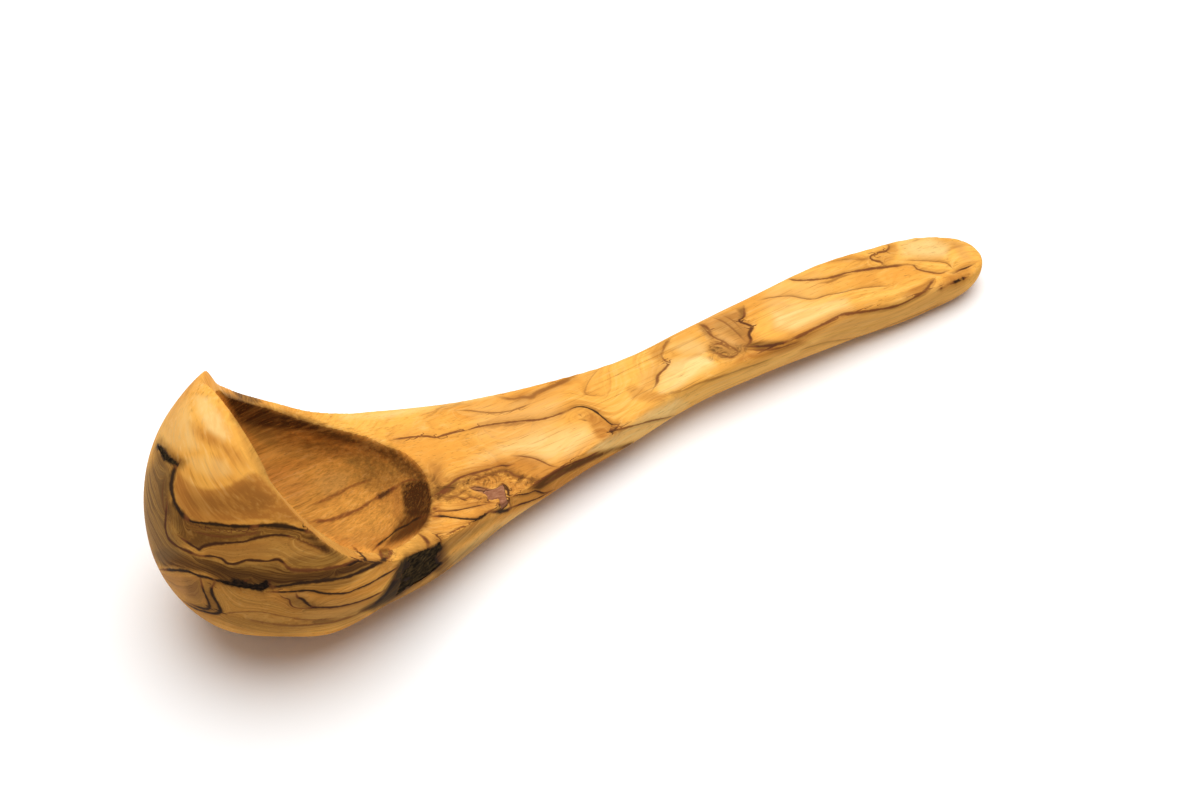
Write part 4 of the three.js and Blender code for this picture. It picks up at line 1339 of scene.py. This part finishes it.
# Finish of each kind of fill: two tones, grains in a metre, roughness, depth of the bumps in millimetres
fillFinishes = {
    "putty": {"name": "woodPutty", "deep": (0.25, 0.095, 0.045, 1), "light": (0.37, 0.165, 0.085, 1),
              "grain": 1500, "roughness": 0.8, "bumpDepth": 0.1},
    "bark": {"name": "ingrownBark", "deep": (0.012, 0.008, 0.005, 1), "light": (0.072, 0.045, 0.018, 1),
             "grain": 1100, "roughness": 0.95, "bumpDepth": 0.3},
    "seam_fill": {"name": "blackSeam", "deep": (0.008, 0.005, 0.004, 1), "light": (0.035, 0.018, 0.009, 1),
                  "grain": 1200, "roughness": 0.7, "bumpDepth": 0.2},
}
mottle = {"along": 0.3, "detail": 5, "coarse": 0.65, "from": 0.38, "to": 0.68, "bumpStrength": 0.8}


def mottledFill(name, deep, light, grain, roughness, bumpDepth):
    material, tree, shader, place = newMaterial(name)
    scale = (grain * mottle["along"], grain, grain)
    spots = stretchedNoise(tree, place, scale, mottle["detail"], mottle["coarse"])
    colour = mixColour(tree, ramp(tree, spots, mottle["from"], mottle["to"]), deep, light)
    tree.links.new(colour, shader.inputs["Base Color"])
    shader.inputs["Roughness"].default_value = roughness
    shader.inputs["Specular IOR Level"].default_value = woodFinish["specular"]
    addBump(tree, shader, spots, mottle["bumpStrength"], bumpDepth)
    return material


body.data.materials.clear()
body.data.materials.append(oliveWood())
fillMaterials = {slot: mottledFill(**finish) for slot, finish in fillFinishes.items()}
for flaw in flaws.values():
    flaw["object"].data.materials.append(fillMaterials[flaw["slot"]])
print("materials made")

# Floor and light, in metres and watts
studio = {
    "floorSize": 6, "floorColour": (0.80, 0.795, 0.79, 1), "floorShown": (0.98, 0.98, 0.98, 1),
    "floorRoughness": 0.9, "floorSpecular": 0.1, "whiteFrom": 0.45, "whiteTo": 1.5,
    "keyPlace": (0.18, 0.15, 1.4), "keySize": 2.0, "keyPower": 32.4,
    "worldColour": (1, 0.99, 0.98, 1), "worldLevel": 0.27,
}


def setFloor():
    deselectAll()
    bpy.ops.mesh.primitive_plane_add(size=studio["floorSize"], location=(0, 0, 0))
    floor = bpy.context.object
    floor.name = "studioFloor"
    material, tree, shader, place = newMaterial("paleFloor")
    shader.inputs["Roughness"].default_value = studio["floorRoughness"]
    shader.inputs["Specular IOR Level"].default_value = studio["floorSpecular"]
    shader.inputs["Emission Color"].default_value = (1, 1, 1, 1)
    shown = backgroundRay(tree)
    colour = mixColour(tree, shown, studio["floorColour"], studio["floorShown"])
    tree.links.new(colour, shader.inputs["Base Color"])
    away = addNode(tree, "ShaderNodeVectorMath", {0: place}, operation="LENGTH").outputs["Value"]
    white = ramp(tree, away, studio["whiteFrom"], studio["whiteTo"])  # whiter far from the ladle
    tree.links.new(maths(tree, "MULTIPLY", shown, white), shader.inputs["Emission Strength"])
    floor.data.materials.append(material)


def setLight():
    data = bpy.data.lights.new("keyLight", "AREA")
    data.shape = "DISK"
    data.size = studio["keySize"]
    data.energy = studio["keyPower"]
    key = bpy.data.objects.new("keyLight", data)
    bpy.context.scene.collection.objects.link(key)
    key.location = studio["keyPlace"]
    key.rotation_euler = (-Vector(studio["keyPlace"])).to_track_quat("-Z", "Y").to_euler()
    world = bpy.data.worlds.new("studioWorld")
    world.use_nodes = True
    sky = world.node_tree.nodes["Background"]
    sky.inputs["Color"].default_value = studio["worldColour"]
    level = mixValue(world.node_tree, backgroundRay(world.node_tree), studio["worldLevel"], 1.0)
    world.node_tree.links.new(level, sky.inputs["Strength"])
    bpy.context.scene.world = world


setFloor()
setLight()
bpy.context.scene.view_settings.view_transform = "Standard"
print("studio set")
